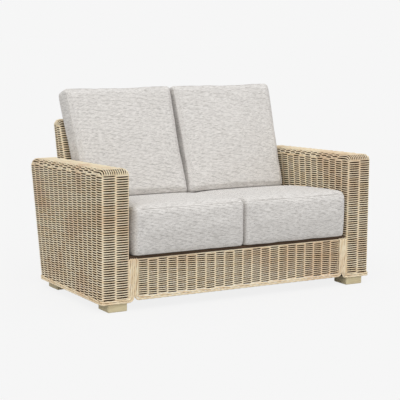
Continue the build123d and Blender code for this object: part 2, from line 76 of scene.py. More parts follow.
# Angles and sizes of the frame, as it was built
RAKE_ANGLE = radians(12.9)
RAKE = tan(RAKE_ANGLE)
LEAN_ANGLE = radians(20.7)
LEAN = tan(LEAN_ANGLE)
DECK_ANGLE = radians(5.5)
ARM_FRONT_HEIGHT = 612 * MM
ARM_REAR_HEIGHT = 584 * MM
ARM_BASE_DEPTH = 647 * MM
ARM_FRONT_ROUND = 30 * MM
ARM_REAR_ROUND = 40 * MM
BACK_TOP_DEPTH = 67 * MM
BACK_ROLL_ROUND = 30 * MM
BACK_KNEE = 395 * MM
BACK_BASE = 185 * MM
DECK_FRONT = 238 * MM
ROD = 4.5 * MM
ROD_PITCH = 9.2 * MM
APRON_LIFT = 8 * MM

# Form of a strand: samples for each stake, its eased wave, where a dip gets painted shade, its
# widths, the share of the wave that rows at an edge keep, its drift up and down and the length of a
# splice
SAMPLES = 6
WAVE_EASE = 0.85
RECESS_START, RECESS_SPAN = 0.16, 0.34
FACE_WIDTH, PROUD_LOSS, RECESS_GAIN = 1.02, 0.22, 0.36
CALM = 0.12
DRIFT = 0.2 * MM
SPLICE = 1.3


def rear_y(height, inset=0.0):
    """Rear face of the arms and back at a height, moved inwards by inset."""
    return front_y + ARM_BASE_DEPTH + (height - foot_height) * RAKE - inset * hypot(1, RAKE)


def rest_y(height, inset=0.0):
    """Leaning front face of the back at a height, moved into the back by inset."""
    top_line = rear_y(back_height) - BACK_TOP_DEPTH + (height - back_height) * LEAN
    return top_line + inset * hypot(1, LEAN)


arm_slope = (ARM_FRONT_HEIGHT - ARM_REAR_HEIGHT) / (rear_y(ARM_REAR_HEIGHT) - front_y)


def arm_top(y, inset=0.0):
    """Height of the arm's sloping top at a place along Y, moved down by inset."""
    return ARM_FRONT_HEIGHT - (y - front_y) * arm_slope - inset * hypot(1, arm_slope)


def arm_corner(inset):
    """Y and Z where the arm's top and rear faces meet, both moved inwards by inset."""
    level = ARM_FRONT_HEIGHT - inset * hypot(1, arm_slope)
    height = (level - arm_slope * (rear_y(0, inset) - front_y)) / (1 + arm_slope * RAKE)
    return rear_y(height, inset), height


def deck_z(y):
    """Height of the sloping seat deck at a place along Y."""
    return DECK_FRONT - (y - front_y) * tan(DECK_ANGLE)


def a_length(name, description, default):
    """A property that holds a length in metres."""
    return FloatProperty(name=name, description=description, default=default, unit="LENGTH")


def an_amount(name, description, default):
    """A property that holds a number without a unit."""
    return FloatProperty(name=name, description=description, default=default)


def a_count(name, description, default):
    """A property that holds a whole number."""
    return IntProperty(name=name, description=description, default=default)


def a_colour(name, description, *default):
    """A property that holds a colour."""
    return FloatVectorProperty(
        name=name, description=description, default=default, subtype="COLOR"
    )


class WeaveSizes(bpy.types.PropertyGroup):
    """Sizes of the woven panels, in metres, and their colours."""

    row_pitch: a_length("Row pitch", "Height of one row of cane", 5.15 * MM)
    apron_pitch: a_length("Apron row pitch", "Height of one row in the apron", 4.6 * MM)
    strand_width: a_length("Strand width", "Half the width of a strand's face", 2.75 * MM)
    strand_depth: a_length("Strand depth", "Half the thickness of a strand", 2.2 * MM)
    wave_out: a_length("Wave out", "How far a strand stands out over a stake", 3.3 * MM)
    wave_in: a_length("Wave in", "How far a strand dips behind a stake", 2.0 * MM)
    stake_radius: a_length("Stake radius", "Radius of the upright stakes", 2.4 * MM)
    side_stakes: a_count("Side stakes", "Stakes along each side of an arm", 15)
    back_stakes: a_count("Back stakes", "Stakes across the back", 24)
    apron_stakes: a_count("Apron stakes", "Stakes across the apron", 22)
    shoulder: a_length("Shoulder", "Radius of the arms' long upper edges", 28 * MM)
    upright_round: a_length("Upright rounding", "Radius of the upright corners", 14 * MM)
    outer_round: a_length("Outer rounding", "Radius of the arms' outer corners", 24 * MM)
    # Painted shade: the colour of cane deep in the weave and of the darkened stakes; the poles'
    # node rings use it as their own dark colour
    shade: a_colour("Recess colour", "Cane deep in the weave", 0.045, 0.018, 0.005)
    brown: a_colour("Brown cane", "Darkest of the strands", 0.42, 0.245, 0.125)
    ruddy: a_colour("Ruddy cane", "Warmer patches of the strands", 0.72, 0.46, 0.28)
    tan: a_colour("Tan cane", "Middle colour of the strands", 0.90, 0.735, 0.50)
    straw: a_colour("Straw cane", "Lightest of the strands", 0.98, 0.875, 0.67)


class CushionSizes(bpy.types.PropertyGroup):
    """Sizes of the four loose cushions, in metres, and the colours of their cloth."""

    voxel: a_length("Cloth mesh", "Size of the cloth's mesh cells", 8 * MM)
    pressure: an_amount("Pressure", "Pressure that fills the cushions", 4.0)
    swell: a_length("Swell", "Furthest that the cloth may swell", 9 * MM)
    give: an_amount("Give", "Share of the cloth's inward and sideways moves kept", 0.2)
    seam_radius: a_length("Seam radius", "Radius of the sewn edges", 1.3 * MM)
    light: a_colour("Light yarn", "Lightest yarn of the cloth", 0.88, 0.857, 0.832)
    middle: a_colour("Middle yarn", "Middle yarn of the cloth", 0.72, 0.695, 0.665)
    dark: a_colour("Dark yarn", "Darkest yarn of the cloth", 0.34, 0.32, 0.30)


class StageSizes(bpy.types.PropertyGroup):
    """The backdrop's brightness and the strength of the light."""

    backdrop: an_amount("Backdrop", "Brightness of the floor and backdrop", 0.922)
    sky: an_amount("Sky", "Strength of the light from all round", 0.72)
    key: an_amount("Key lamp", "Strength of the high soft lamp", 1.25)
    key_height: FloatProperty(
        name="Key height", description="Angle of the high lamp above the floor",
        default=radians(55), subtype="ANGLE"
    )
    floor_tone: an_amount("Floor tone", "Share of the light that the floor sends back", 0.5)
    glow: an_amount("Floor glow", "Share of the floor that hides shadows", 0.85)


class Route:
    """Straight runs joined by arcs through rounded corners.

    A place at length s is start + s times the run's direction on a straight run, and
    start + r (sin a, 1 - cos a) in the directions of the run and of the arc's centre on an
    arc of radius r, where a = s / r.
    """

    def __init__(self, corners, radii):
        corners = np.array(corners, float)
        steps = np.diff(corners, axis=0)
        lengths = np.linalg.norm(steps, axis=1)
        runs = steps / lengths[:, None]
        turns = np.zeros(len(corners))
        turns[1:-1] = np.arccos(np.clip((runs[:-1] * runs[1:]).sum(1), -1, 1))
        trims = np.array(radii, float) * np.tan(turns / 2)
        self.marks = []
        pieces = []
        at = 0.0
        for index, run in enumerate(runs):
            start = corners[index] + run * trims[index]
            pieces.append((at, start, run, np.zeros_like(run), np.inf))
            at += lengths[index] - trims[index] - trims[index + 1]
            turn, radius = turns[index + 1], radii[index + 1]
            self.marks.append(at + radius * turn / 2)
            if radius * turn > 0:
                inward = runs[index + 1] - run * cos(turn)
                inward = inward / np.linalg.norm(inward)
                bend = corners[index + 1] - run * trims[index + 1]
                pieces.append((at, bend, run, inward, radius))
                at += radius * turn
        self.length = at
        starts, origins, runs, inwards, radius = zip(*pieces)
        self.starts = np.array(starts)
        self.origins, self.runs, self.inwards = map(np.array, (origins, runs, inwards))
        self.radii = np.array(radius)

    def at(self, lengths):
        """Points and directions at the given lengths."""
        which = np.clip(np.searchsorted(self.starts, lengths, side="right") - 1, 0, None)
        local = lengths - self.starts[which]
        radius = self.radii[which]
        straight = np.isinf(radius)
        angle = np.where(straight, 0, local / radius)
        bow = np.where(straight, 1, radius)
        ahead = np.where(straight, local, bow * np.sin(angle))[:, None]
        aside = np.where(straight, 0, bow * (1 - np.cos(angle)))[:, None]
        points = self.origins[which] + ahead * self.runs[which] + aside * self.inwards[which]
        turned = np.sin(angle)[:, None] * self.inwards[which]
        return points, np.cos(angle)[:, None] * self.runs[which] + turned


def unit(vectors):
    """The vectors at length one."""
    return vectors / np.linalg.norm(vectors, axis=-1, keepdims=True)


def new_mesh(name, points, quads, caps=(), sides=6, uvs=None, attributes=None):
    """A mesh object from arrays of points, quads and end faces of the given number of sides."""
    caps = np.array(caps, int).reshape(-1, sides)
    mesh = bpy.data.meshes.new(name)
    mesh.vertices.add(len(points))
    mesh.vertices.foreach_set("co", np.asarray(points, np.float32).ravel())
    corners = np.concatenate([quads.ravel(), caps.ravel()]).astype(np.int32)
    quad_starts = 4 * np.arange(len(quads))
    cap_starts = 4 * len(quads) + sides * np.arange(len(caps))
    mesh.loops.add(len(corners))
    mesh.loops.foreach_set("vertex_index", corners)
    mesh.polygons.add(len(quads) + len(caps))
    starts = np.concatenate([quad_starts, cap_starts]).astype(np.int32)
    mesh.polygons.foreach_set("loop_start", starts)
    mesh.polygons.foreach_set("use_smooth", np.ones(len(starts), bool))
    mesh.update(calc_edges=True)
    if uvs is not None:
        layer = mesh.uv_layers.new(name="along")
        rest = np.zeros((len(corners) - len(uvs), 2))
        layer.data.foreach_set("uv", np.concatenate([uvs, rest]).astype(np.float32).ravel())
    for key, values in (attributes or {}).items():
        held = mesh.attributes.new(key, "FLOAT", "POINT")
        held.data.foreach_set("value", np.asarray(values, np.float32))
    mesh.validate()
    made = bpy.data.objects.new(name, mesh)
    bpy.context.scene.collection.objects.link(made)
    return made


class Strands:
    """Round strands gathered into one mesh, each a line of rings.

    A point of a ring is line + wide cos(a) side + deep sin(a) out, where side is the
    strand's direction crossed with out.
    """

    def __init__(self, sides=6):
        self.sides = sides
        self.angles = 2 * pi * np.arange(sides) / sides
        self.count = 0
        self.points, self.quads, self.caps, self.uvs = [], [], [], []
        self.tones, self.depths = [], []

    def add(self, line, out, wide, deep, tone, depth, closed=False):
        """Add a strand along a line, with its half sizes, its tone and its recess."""
        rings, sides = len(line), self.sides
        if closed:
            ahead = np.roll(line, -1, axis=0) - np.roll(line, 1, axis=0)
        else:
            ahead = np.gradient(line, axis=0)
        ahead = unit(ahead)
        side = unit(np.cross(ahead, out))
        out = np.cross(side, ahead)
        wide = np.broadcast_to(wide, rings)[:, None]
        across = side[:, None, :] * (wide * np.cos(self.angles))[:, :, None]
        over = out[:, None, :] * (deep * np.sin(self.angles))[None, :, None]
        self.points.append((line[:, None, :] + across + over).reshape(-1, 3))
        ring = np.arange(rings if closed else rings - 1)
        spoke = np.arange(sides)
        here, there = ring[:, None] * sides, (ring[:, None] + 1) % rings * sides
        step = (spoke + 1) % sides
        quads = np.stack([here + spoke, there + spoke, there + step, here + step], -1)
        self.quads.append(quads.reshape(-1, 4) + self.count)
        if not closed:
            self.caps.append(self.count + spoke)
            self.caps.append(self.count + (rings - 1) * sides + spoke[::-1])
        gaps = np.linalg.norm(np.diff(np.vstack([line, line[:1]]), axis=0), axis=1)
        along = np.concatenate([[0], np.cumsum(gaps)])
        shape = (len(ring), sides)
        u0 = np.broadcast_to(along[ring][:, None], shape)
        u1 = np.broadcast_to(along[ring + 1][:, None], shape)
        v0 = np.broadcast_to(spoke / sides, shape)
        v1 = v0 + 1 / sides
        self.uvs.append(np.stack([u0, v0, u1, v0, u1, v1, u0, v1], -1).reshape(-1, 2))
        self.tones.append(np.repeat(np.broadcast_to(tone, rings), sides))
        self.depths.append(np.repeat(np.broadcast_to(depth, rings), sides))
        self.count += rings * sides

    def build(self, name):
        """The gathered strands as one object."""
        return new_mesh(
            name,
            np.concatenate(self.points),
            np.concatenate(self.quads),
            self.caps,
            self.sides,
            np.concatenate(self.uvs),
            {"tone": np.concatenate(self.tones), "recess": np.concatenate(self.depths)},
        )


def cane_tone(chance, length, rings):
    """Colour shares along a strand that is spliced every metre or so."""
    places = np.linspace(0, length, rings) + chance.random() * SPLICE
    pieces = chance.random(int(length / SPLICE) + 3)
    return pieces[(places / SPLICE).astype(int)]


def wave(sizes, stake, parity):
    """How far a strand stands out at places counted in stakes, and its recess from 0 to 1.

    The wave is cos(pi stake) to a power, as high as wave_out and as low as wave_in.
    """
    turn = parity * np.cos(pi * stake)
    eased = np.sign(turn) * np.abs(turn) ** WAVE_EASE
    out = np.where(eased > 0, sizes.wave_out * eased, sizes.wave_in * eased)
    return out, np.clip((-RECESS_START - eased) / RECESS_SPAN, 0, 1)


def weave_strand(strands, sizes, chance, line, out, stake, parity, closed=False, breadth=1.0):
    """Add a strand that passes before and behind the stakes along a middle line.

    It is shifted by the wave along out, and by a slow random drift across its own direction.
    """
    push, recess = wave(sizes, stake, parity)
    proud = np.clip(push / sizes.wave_out, 0, 1)
    knots = np.arange(np.floor(stake.min()) - 1, np.ceil(stake.max()) + 2)
    drift = chance.normal(0, DRIFT, len(knots))
    if closed:
        drift[-3:] = drift[:3]
    rise = np.interp(stake, knots, drift)
    side = unit(np.cross(np.gradient(line, axis=0), out))
    length = np.linalg.norm(np.diff(line, axis=0), axis=1).sum()
    strands.add(
        line + out * push[:, None] + side * rise[:, None],
        out,
        sizes.strand_width * breadth * (FACE_WIDTH - PROUD_LOSS * proud + RECESS_GAIN * recess),
        sizes.strand_depth,
        cane_tone(chance, length, len(line)),
        recess,
        closed,
    )


def parity_of(row):
    """1 for even rows and -1 for odd ones, whose strands dip where the others rise."""
    return 1 - 2 * (row % 2)


def stake_steps(counts, samples, start=-0.5):
    """Places counted in stakes: so many stakes for each run, and samples for each stake."""
    steps = []
    at = start
    for count, each in zip(counts, samples):
        steps.append(at + np.arange(count * each) / each)
        at += count
    return np.concatenate(steps)


def open_steps(count):
    """Places counted in stakes along an open row of so many stakes, with both its ends."""
    return np.append(stake_steps([count], [SAMPLES]), count - 0.5)


def ring_steps(count, corner, far):
    """Places counted in stakes round a ring: two long sides and, between them, two stakes."""
    return stake_steps([1, count, 2, count, 1], [corner, SAMPLES, corner, far, corner], -1.5)


def ring_lengths(route, stake, count):
    """Lengths along a ring's route at places counted in stakes, corner by corner."""
    corners = np.cumsum([0, 1, count, 2, count, 1]) - 1.5
    return np.interp(stake, corners, [0, *route.marks[:4], route.length])


def at_stakes(line, stake):
    """The points of a line that lie at its stakes."""
    return line[np.isclose(stake % 1, 0) | np.isclose(stake % 1, 1)]


def weave_inset(sizes):
    """Depth of the weave's middle line below its outer face."""
    return sizes.strand_depth + sizes.wave_out


def arm_rear_surface(height, inset):
    """Rear of an arm at a height, with its rounded top corner: a line, then a circle."""
    centre_y, centre_z = arm_corner(ARM_REAR_ROUND)
    radius = ARM_REAR_ROUND - inset
    rise = np.clip((height - centre_z) / radius, -sin(RAKE_ANGLE), 1)
    bent = centre_y + radius * np.sqrt(1 - rise**2)
    return np.where(rise > -sin(RAKE_ANGLE), bent, rear_y(height, inset))


def arm_faces(side, inset):
    """X of an arm's outer and inner faces, both moved inwards by inset."""
    return side * (arm_outer_x - inset), side * (arm_inner_x + inset)


def arm_ring(side, sizes, share, stake):
    """Middle line and outward directions of one ring of an arm at a share of its height."""
    inset = weave_inset(sizes)
    outer, inner = arm_faces(side, inset)
    middle = (outer + inner) / 2
    front = front_y + inset

    def level(y):
        """Height of the ring at a place along Y, as the arm's top slopes."""
        rise = arm_top(y) - sizes.shoulder - weave_base - 2 * sizes.strand_width
        return weave_base + sizes.strand_width + share * rise

    rear = rear_y(weave_base, inset)
    for _ in range(4):
        rear = float(arm_rear_surface(level(rear), inset))
    corners = [(middle, front), (outer, front), (outer, rear), (inner, rear), (inner, front)]
    wide, slight = sizes.outer_round - inset, sizes.upright_round - inset
    route = Route([(*c, 0) for c in corners + corners[:1]], [0, wide, wide, slight, slight, 0])
    points, ahead = route.at(ring_lengths(route, stake, sizes.side_stakes))
    points[:, 2] = level(points[:, 1])
    return points, np.cross(ahead, (0, 0, 1)) * side


def arm_cap_line(side, sizes, x, drop):
    """Dense middle line of a strand over the top of an arm, at a place across it."""
    inset = weave_inset(sizes)
    spare = 2 * MM
    shy = 0.0
    for edge, corner in zip(arm_faces(side, inset), (sizes.outer_round, sizes.upright_round)):
        beyond = max(corner - inset - abs(x - edge), 0)
        shy += corner - inset - np.sqrt(max((corner - inset) ** 2 - beyond**2, 0))
    front = front_y + inset + shy
    corner_z = arm_top(front) - drop
    rear_z = arm_top(rear_y(ARM_REAR_HEIGHT, inset + shy)) - drop
    for _ in range(3):
        top_y = rear_y(rear_z, inset + shy)
        rear_z = arm_top(top_y) - drop
    front_radius = max(ARM_FRONT_ROUND - drop, 4 * MM)
    rear_radius = max(ARM_REAR_ROUND - drop, 6 * MM)
    turn = pi / 2 + RAKE_ANGLE - np.arctan(arm_slope)
    reach = rear_radius * tan(turn / 2) + spare
    route = Route(
        [
            (x, front, corner_z - front_radius - spare),
            (x, front, corner_z),
            (x, top_y, rear_z),
            (x, top_y - reach * sin(RAKE_ANGLE), rear_z - reach * cos(RAKE_ANGLE)),
        ],
        [0, front_radius, rear_radius, 0],
    )
    lengths = np.linspace(0, route.length, 500)
    points, ahead = route.at(lengths)
    kept = points[:, 2] >= arm_top(points[:, 1]) - sizes.shoulder - 1.5 * MM
    return points[kept], ahead[kept], lengths[kept]


def arm_cap(side, sizes):
    """Strands over the top of an arm: for each, its line, outward directions and stakes.

    The section's arcs are a hair smaller than the shoulder, so a short upright run is left.
    """
    inset = weave_inset(sizes)
    radius = (sizes.shoulder - inset) * 0.999
    outer, inner = arm_faces(side, inset)
    section = Route(
        [(outer, -sizes.shoulder), (outer, -inset), (inner, -inset), (inner, -sizes.shoulder)],
        [0, radius, radius, 0],
    )
    count = 2 * round(section.length / sizes.row_pitch / 2)
    places, turns = section.at((np.arange(count) + 0.5) / count * section.length)
    last = sizes.side_stakes - 0.5
    stake = open_steps(sizes.side_stakes)
    known = [0.5, last - 1]
    top_steps = np.arange(0, sizes.side_stakes, 0.5)
    top_ring, _ = arm_ring(side, sizes, 1.0, top_steps)
    known_y = np.interp(known, top_steps, top_ring[:, 1])
    strands = []
    for (x, height), (turn_x, turn_z) in zip(places, turns):
        points, ahead, lengths = arm_cap_line(side, sizes, x, -height)
        level = slice(len(lengths) // 8, -len(lengths) // 8)
        anchors = np.interp(known_y, points[level, 1], lengths[level])
        wanted = np.interp(stake, [-0.5, *known, last], [lengths[0], *anchors, lengths[-1]])
        line, run = (
            np.stack([np.interp(wanted, lengths, held[:, axis]) for axis in range(3)], -1)
            for held in (points, ahead)
        )
        out = unit(np.cross(run, (turn_x, 0, turn_z))) * side
        strands.append((line, out, stake))
    return strands


def add_stake(strands, sizes, line):
    """Add an upright stake along a line of points, in a middle tone as it looks in the slots.

    Its outward side points away from the line's middle, less the part along the line.
    """
    middle = line.mean(0)
    out = unit(line - middle + np.array([0.31, 0.17, 0.0]) * MM)
    ahead = unit(np.gradient(line, axis=0))
    out = out - (out * ahead).sum(1, keepdims=True) * ahead
    weak = np.linalg.norm(out, axis=1, keepdims=True) < 0.05
    out = np.where(weak, np.cross(ahead, (0.6, 0.8, 0.0)), out)
    strands.add(line, unit(out), sizes.stake_radius, sizes.stake_radius, 0.45, 0.62)


def dress(piece, material):
    """Give a new piece its finish."""
    piece.data.materials.clear()
    piece.data.materials.append(material)


def settle(piece, material, body, slot, *nodes):
    """Give a piece its finish, seat it on its body and hide the frame's nodes that it replaces; its
    slot is not used.
    """
    dress(piece, material)
    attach(piece, body)
    if nodes:
        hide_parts(*nodes)


def weave_rings(name, sizes, chance, rings, stake, material, breadth=1.0):
    """Weave closed rings as a lower and an upper piece, and return their points at the stakes."""
    middle = len(rings) // 2
    for part, rows in (("lower", range(middle)), ("upper", range(middle, len(rings)))):
        strands = Strands()
        for row in rows:
            line, out = rings[row]
            weave_strand(strands, sizes, chance, line, out, stake, parity_of(row), True, breadth)
        settle(strands.build(f"{name}_{part}"), material, "frame", "rattan_weave", name)
    return np.array([at_stakes(line, stake) for line, _ in rings])


def stand_stakes(name, sizes, count, grid, tops, feet=None):
    """Stand stakes in rings: each goes up one face, over the top and down the other face.

    A stake passes through every fourth ring and every other strand of the top.
    """
    stakes = Strands(5)
    for k in range(count):
        runs = [grid[::4, k + 1], tops[1:-1:2, k], grid[::-4, 2 * count + 2 - k]]
        if feet is not None:
            runs.insert(0, feet[::4, k])
        add_stake(stakes, sizes, np.concatenate(runs))
    for k in (0, count + 1, count + 2, 2 * count + 3):
        add_stake(stakes, sizes, grid[::4, k])
    material = shared_material("stake_cane", stake_finish, sizes)
    settle(stakes.build(name), material, "frame", "rattan_weave")


def level_row(steps, half, y, z):
    """A level line across the sofa, from -half to half along X, at places counted in stakes."""
    x = np.interp(steps, steps[[0, -1]], [-half, half])
    return np.stack([x, np.full_like(x, y), np.full_like(x, z)], -1)


class Num:
    """A shader socket whose arithmetic adds Math nodes."""

    def __init__(self, finish, socket):
        self.finish = finish
        self.socket = socket

    def math(self, operation, *values):
        """A Math node over the values."""
        inputs = dict(enumerate(values))
        made = self.finish.node("ShaderNodeMath", {"operation": operation}, inputs)
        return Num(self.finish, made.outputs[0])

    def __add__(self, other):
        return self.math("ADD", self, other)

    def __sub__(self, other):
        return self.math("SUBTRACT", self, other)

    def __rsub__(self, other):
        return self.math("SUBTRACT", other, self)

    def __mul__(self, other):
        return self.math("MULTIPLY", self, other)

    __radd__ = __add__
    __rmul__ = __mul__


class Nodes:
    """A node tree and the ways of adding to it."""

    def __init__(self, tree):
        self.tree = tree

    def node(self, kind, settings=None, inputs=None):
        """Any node: its settings are set first, then its sockets get values or links."""
        made = self.tree.nodes.new(kind)
        settings = dict(settings or {})
        stops = settings.pop("stops", None)
        for key, value in settings.items():
            setattr(made, key, value)
        if stops:
            ramp = made.color_ramp
            for _ in stops[2:]:
                ramp.elements.new(0.5)
            for element, (place, colour) in zip(ramp.elements, stops):
                element.position = place
                element.color = (*colour, 1)
        for key, value in (inputs or {}).items():
            self.feed(made.inputs[key], value)
        return made

    def feed(self, socket, value):
        """Link a socket to a socket, or set its value."""
        if isinstance(value, Num):
            value = value.socket
        if isinstance(value, bpy.types.NodeSocket):
            self.tree.links.new(value, socket)
        else:
            socket.default_value = value

    def place(self, scale=(1, 1, 1), source="Object"):
        """Object or UV coordinates stretched by a scale for each axis."""
        held = self.node("ShaderNodeTexCoord").outputs[source]
        mapping = self.node("ShaderNodeMapping", None, {"Vector": held, "Scale": scale})
        return mapping.outputs["Vector"]

    def noise(self, stretch, scale, detail=2.0, roughness=0.5, source="Object"):
        """Noise from 0 to 1 at a scale, its place first stretched along each axis."""
        vector = self.place(stretch, source)
        inputs = {"Vector": vector, "Scale": scale, "Detail": detail, "Roughness": roughness}
        return Num(self, self.node("ShaderNodeTexNoise", None, inputs).outputs["Fac"])

    def bands(self, axis, scale, distortion=0.0):
        """Bands from 0 to 1 along an axis: (1 + sin(20 scale place)) / 2."""
        settings = {"wave_type": "BANDS", "bands_direction": axis}
        inputs = {"Vector": self.place(), "Scale": scale, "Distortion": distortion}
        return Num(self, self.node("ShaderNodeTexWave", settings, inputs).outputs["Fac"])

    def share(self, value, low, high):
        """A value stretched from low to high onto 0 to 1, with eased ends."""
        settings = {"interpolation_type": "SMOOTHSTEP"}
        inputs = {"Value": value, "From Min": low, "From Max": high}
        return Num(self, self.node("ShaderNodeMapRange", settings, inputs).outputs["Result"])

    def attribute(self, name):
        """A number held by the mesh."""
        settings = {"attribute_type": "GEOMETRY", "attribute_name": name}
        return Num(self, self.node("ShaderNodeAttribute", settings).outputs["Fac"])

    def ramp(self, value, stops):
        """Colours along a value."""
        return self.node("ShaderNodeValToRGB", {"stops": stops}, {"Fac": value}).outputs["Color"]

    def mix(self, share, first, second):
        """Two colours mixed by a share."""
        inputs = {0: share, 6: opaque(first), 7: opaque(second)}
        return self.node("ShaderNodeMix", {"data_type": "RGBA"}, inputs).outputs[2]


class Finish(Nodes):
    """A material and the nodes that feed its shader."""

    def __init__(self, name, roughness, specular=0.3):
        self.material = bpy.data.materials.new(name)
        self.material.use_nodes = True
        super().__init__(self.material.node_tree)
        self.shader = self.tree.nodes["Principled BSDF"]
        self.shader.inputs["Roughness"].default_value = roughness
        self.shader.inputs["Specular IOR Level"].default_value = specular

    def coat(self, colour, height, distance, strength=1.0, roughness=None):
        """Feed the shader's colour, its normal from a height in metres, and its roughness."""
        self.feed(self.shader.inputs["Base Color"], colour)
        if roughness is not None:
            self.feed(self.shader.inputs["Roughness"], roughness)
        inputs = {"Height": height, "Distance": distance, "Strength": strength}
        made = self.node("ShaderNodeBump", None, inputs)
        self.feed(self.shader.inputs["Normal"], made.outputs["Normal"])
        return self.material


def seen(nodes):
    """1 for what the camera sees, also in gloss and through glass, and 0 for other light."""
    path = nodes.node("ShaderNodeLightPath")
    camera, gloss, glass = (
        Num(nodes, path.outputs[f"Is {kind} Ray"]) for kind in ("Camera", "Glossy", "Transmission")
    )
    rays = camera + gloss + glass
    return rays.math("MINIMUM", rays, 1.0)


def opaque(colour):
    """A colour of three values with its alpha, or a socket as it is."""
    if isinstance(colour, bpy.types.NodeSocket):
        return colour
    return (*tuple(colour)[:3], 1.0)


def grey(level):
    """An opaque grey of a brightness."""
    return (level, level, level, 1.0)


def cane_finish(name, sizes, pale=0.0):
    """Split cane: tone by strand, long fibres, brown and warm blotches, and painted shade where
    strands dip behind stakes.
    """
    finish = Finish(name, 0.6, 0.0)
    tone = finish.attribute("tone")
    recess = finish.attribute("recess")
    fibres = finish.noise((9, 2.5, 1), 4.0, 3.0, 0.6, "UV")
    fine = finish.noise((30, 9, 1), 5.0, source="UV")
    blotch = finish.noise((1, 1, 1), 7.0, 3.0, 0.6)
    patch = finish.noise((1, 1, 1), 3.0, 2.0, 0.6)
    blend = tone * 0.45 + fibres * 0.5 + blotch * 0.7 - (0.14 - pale)
    cane = finish.ramp(blend, [(0.0, sizes.brown), (0.42, sizes.tan), (0.85, sizes.straw)])
    worn = finish.mix(finish.share(fine, 0.62, 0.8) * 0.35, cane, sizes.brown)
    sunned = finish.mix(finish.share(patch, 0.5, 0.68) * 0.42, worn, sizes.ruddy)
    # Painted shade: strands that dip behind a stake turn almost to the shade colour
    colour = finish.mix(finish.share(recess, 0.0, 0.8) * 0.98, sunned, sizes.shade)
    return finish.coat(colour, fine * 0.6 + fibres * 0.4, 0.5 * MM, 0.6, fibres * 0.3 + 0.42)


def stake_finish(sizes):
    """The upright stakes, painted dark with shade, as they show only deep in the slots."""
    finish = Finish("stake_cane", 0.7, 0.0)
    grain = finish.noise((60, 60, 8), 3.0)
    # Painted shade: the stake colour is pulled most of the way to the shade colour
    colour = finish.mix(grain, sizes.shade, sizes.brown)
    return finish.coat(finish.mix(0.6, colour, sizes.shade), grain, 0.4 * MM)


def pole_finish(sizes):
    """Rattan poles: a smooth skin with long grain and darker rings at the nodes."""
    finish = Finish("rattan_pole_skin", 0.45, 0.35)
    grain = finish.noise((70, 70, 70), 1.0, 3.0)
    patch = finish.noise((1, 1, 1), 9.0, 3.0)
    ring = finish.share(finish.bands("DIAGONAL", 2.4, 2.0), 0.93, 1.0)
    stops = [(0.2, sizes.brown), (0.55, sizes.tan), (0.9, sizes.straw)]
    colour = finish.mix(ring * 0.55, finish.ramp(grain * 0.6 + patch * 0.5, stops), sizes.shade)
    return finish.coat(colour, grain * 0.4 + ring, 0.6 * MM, 0.6, grain * 0.25 + 0.35)


def wood_finish(name, light, dark, grain_axis, scale, roughness):
    """Planed wood: growth rings drawn out along one axis, pores and soft wear."""
    finish = Finish(name, roughness, 0.3)
    stretch = [scale * 8 if axis != grain_axis else scale for axis in range(3)]
    rings = finish.noise(stretch, 1.4, 4.0, 0.65)
    pores = finish.noise([5 * each for each in stretch], 2.6)
    wash = finish.noise((1, 1, 1), 14.0)
    stops = [(0.25, dark), (0.5, mid(dark, light, 0.7)), (0.75, light)]
    colour = finish.ramp(rings * 0.7 + wash * 0.5 - 0.1, stops)
    pore = finish.share(pores, 0.62, 0.75) * 0.35
    wear = rings * 0.2 + (roughness - 0.1)
    return finish.coat(finish.mix(pore, colour, dark), rings * 0.5 - pore, 0.4 * MM, 0.5, wear)


def mid(first, second, share):
    """A colour between two others."""
    return tuple(a + (b - a) * share for a, b in zip(first, second))


def cloth_finish(sizes):
    """Slub linen: long uneven threads along X, even rows of weft and dark flecks."""
    finish = Finish("slub_linen", 0.85, 0.12)
    finish.shader.inputs["Sheen Weight"].default_value = 0.18
    finish.shader.inputs["Sheen Roughness"].default_value = 0.45
    face = finish.node("ShaderNodeNewGeometry").outputs["Normal"]
    parts = finish.node("ShaderNodeSeparateXYZ", None, {0: face})
    along_x = Num(finish, parts.outputs["X"])
    end = finish.share(along_x.math("ABSOLUTE", along_x), 0.6, 0.8)
    top = finish.share(Num(finish, parts.outputs["Z"]), 0.6, 0.8)
    long_x = finish.noise((48, 330, 330), 1.0, 1.0)
    long_y = finish.noise((330, 48, 330), 1.0, 1.0)
    row_scale = pi / 10 / (6 * MM)
    rows = finish.bands("Z", row_scale) * (1 - top) + finish.bands("Y", row_scale) * top
    slub = long_x * (1 - end) + long_y * end
    short = finish.noise((380, 1200, 1200), 1.0, 1.0)
    threads = slub * 0.45 + rows * 0.22 + short * 0.4 - 0.035
    colour = finish.ramp(threads, [(0.32, sizes.dark), (0.47, sizes.middle), (0.66, sizes.light)])
    specks = finish.noise((120, 420, 420), 1.0, 1.0)
    fleck = finish.share(specks, 0.6, 0.72) * (1 - rows * 0.5) * 0.7
    colour = finish.mix(fleck, colour, sizes.dark)
    return finish.coat(colour, slub * 0.5 + short * 0.5, 0.8 * MM, 0.5)


def seam_finish(sizes):
    """The sewn edges of the cushions, a little darker than the cloth."""
    finish = Finish("linen_seam", 0.9, 0.1)
    stitch = finish.noise((400, 400, 400), 1.0)
    dim = mid(sizes.dark, sizes.middle, 0.35)
    return finish.coat(finish.ramp(stitch, [(0.35, dim), (0.65, sizes.middle)]), stitch, 0.4 * MM)


def webbing_finish():
    """Elastic webbing: dark ribs along the strap with lighter lines."""
    finish = Finish("elastic_web", 0.8, 0.2)
    rib = finish.bands("X", 60.0, 0.4)
    yarn = finish.noise((300, 900, 300), 1.0)
    stops = [(0.3, (0.03, 0.025, 0.02)), (0.75, (0.16, 0.13, 0.10))]
    colour = finish.ramp(rib * 0.5 + yarn * 0.5, stops)
    return finish.coat(colour, rib * 0.7 + yarn * 0.3, 0.5 * MM)


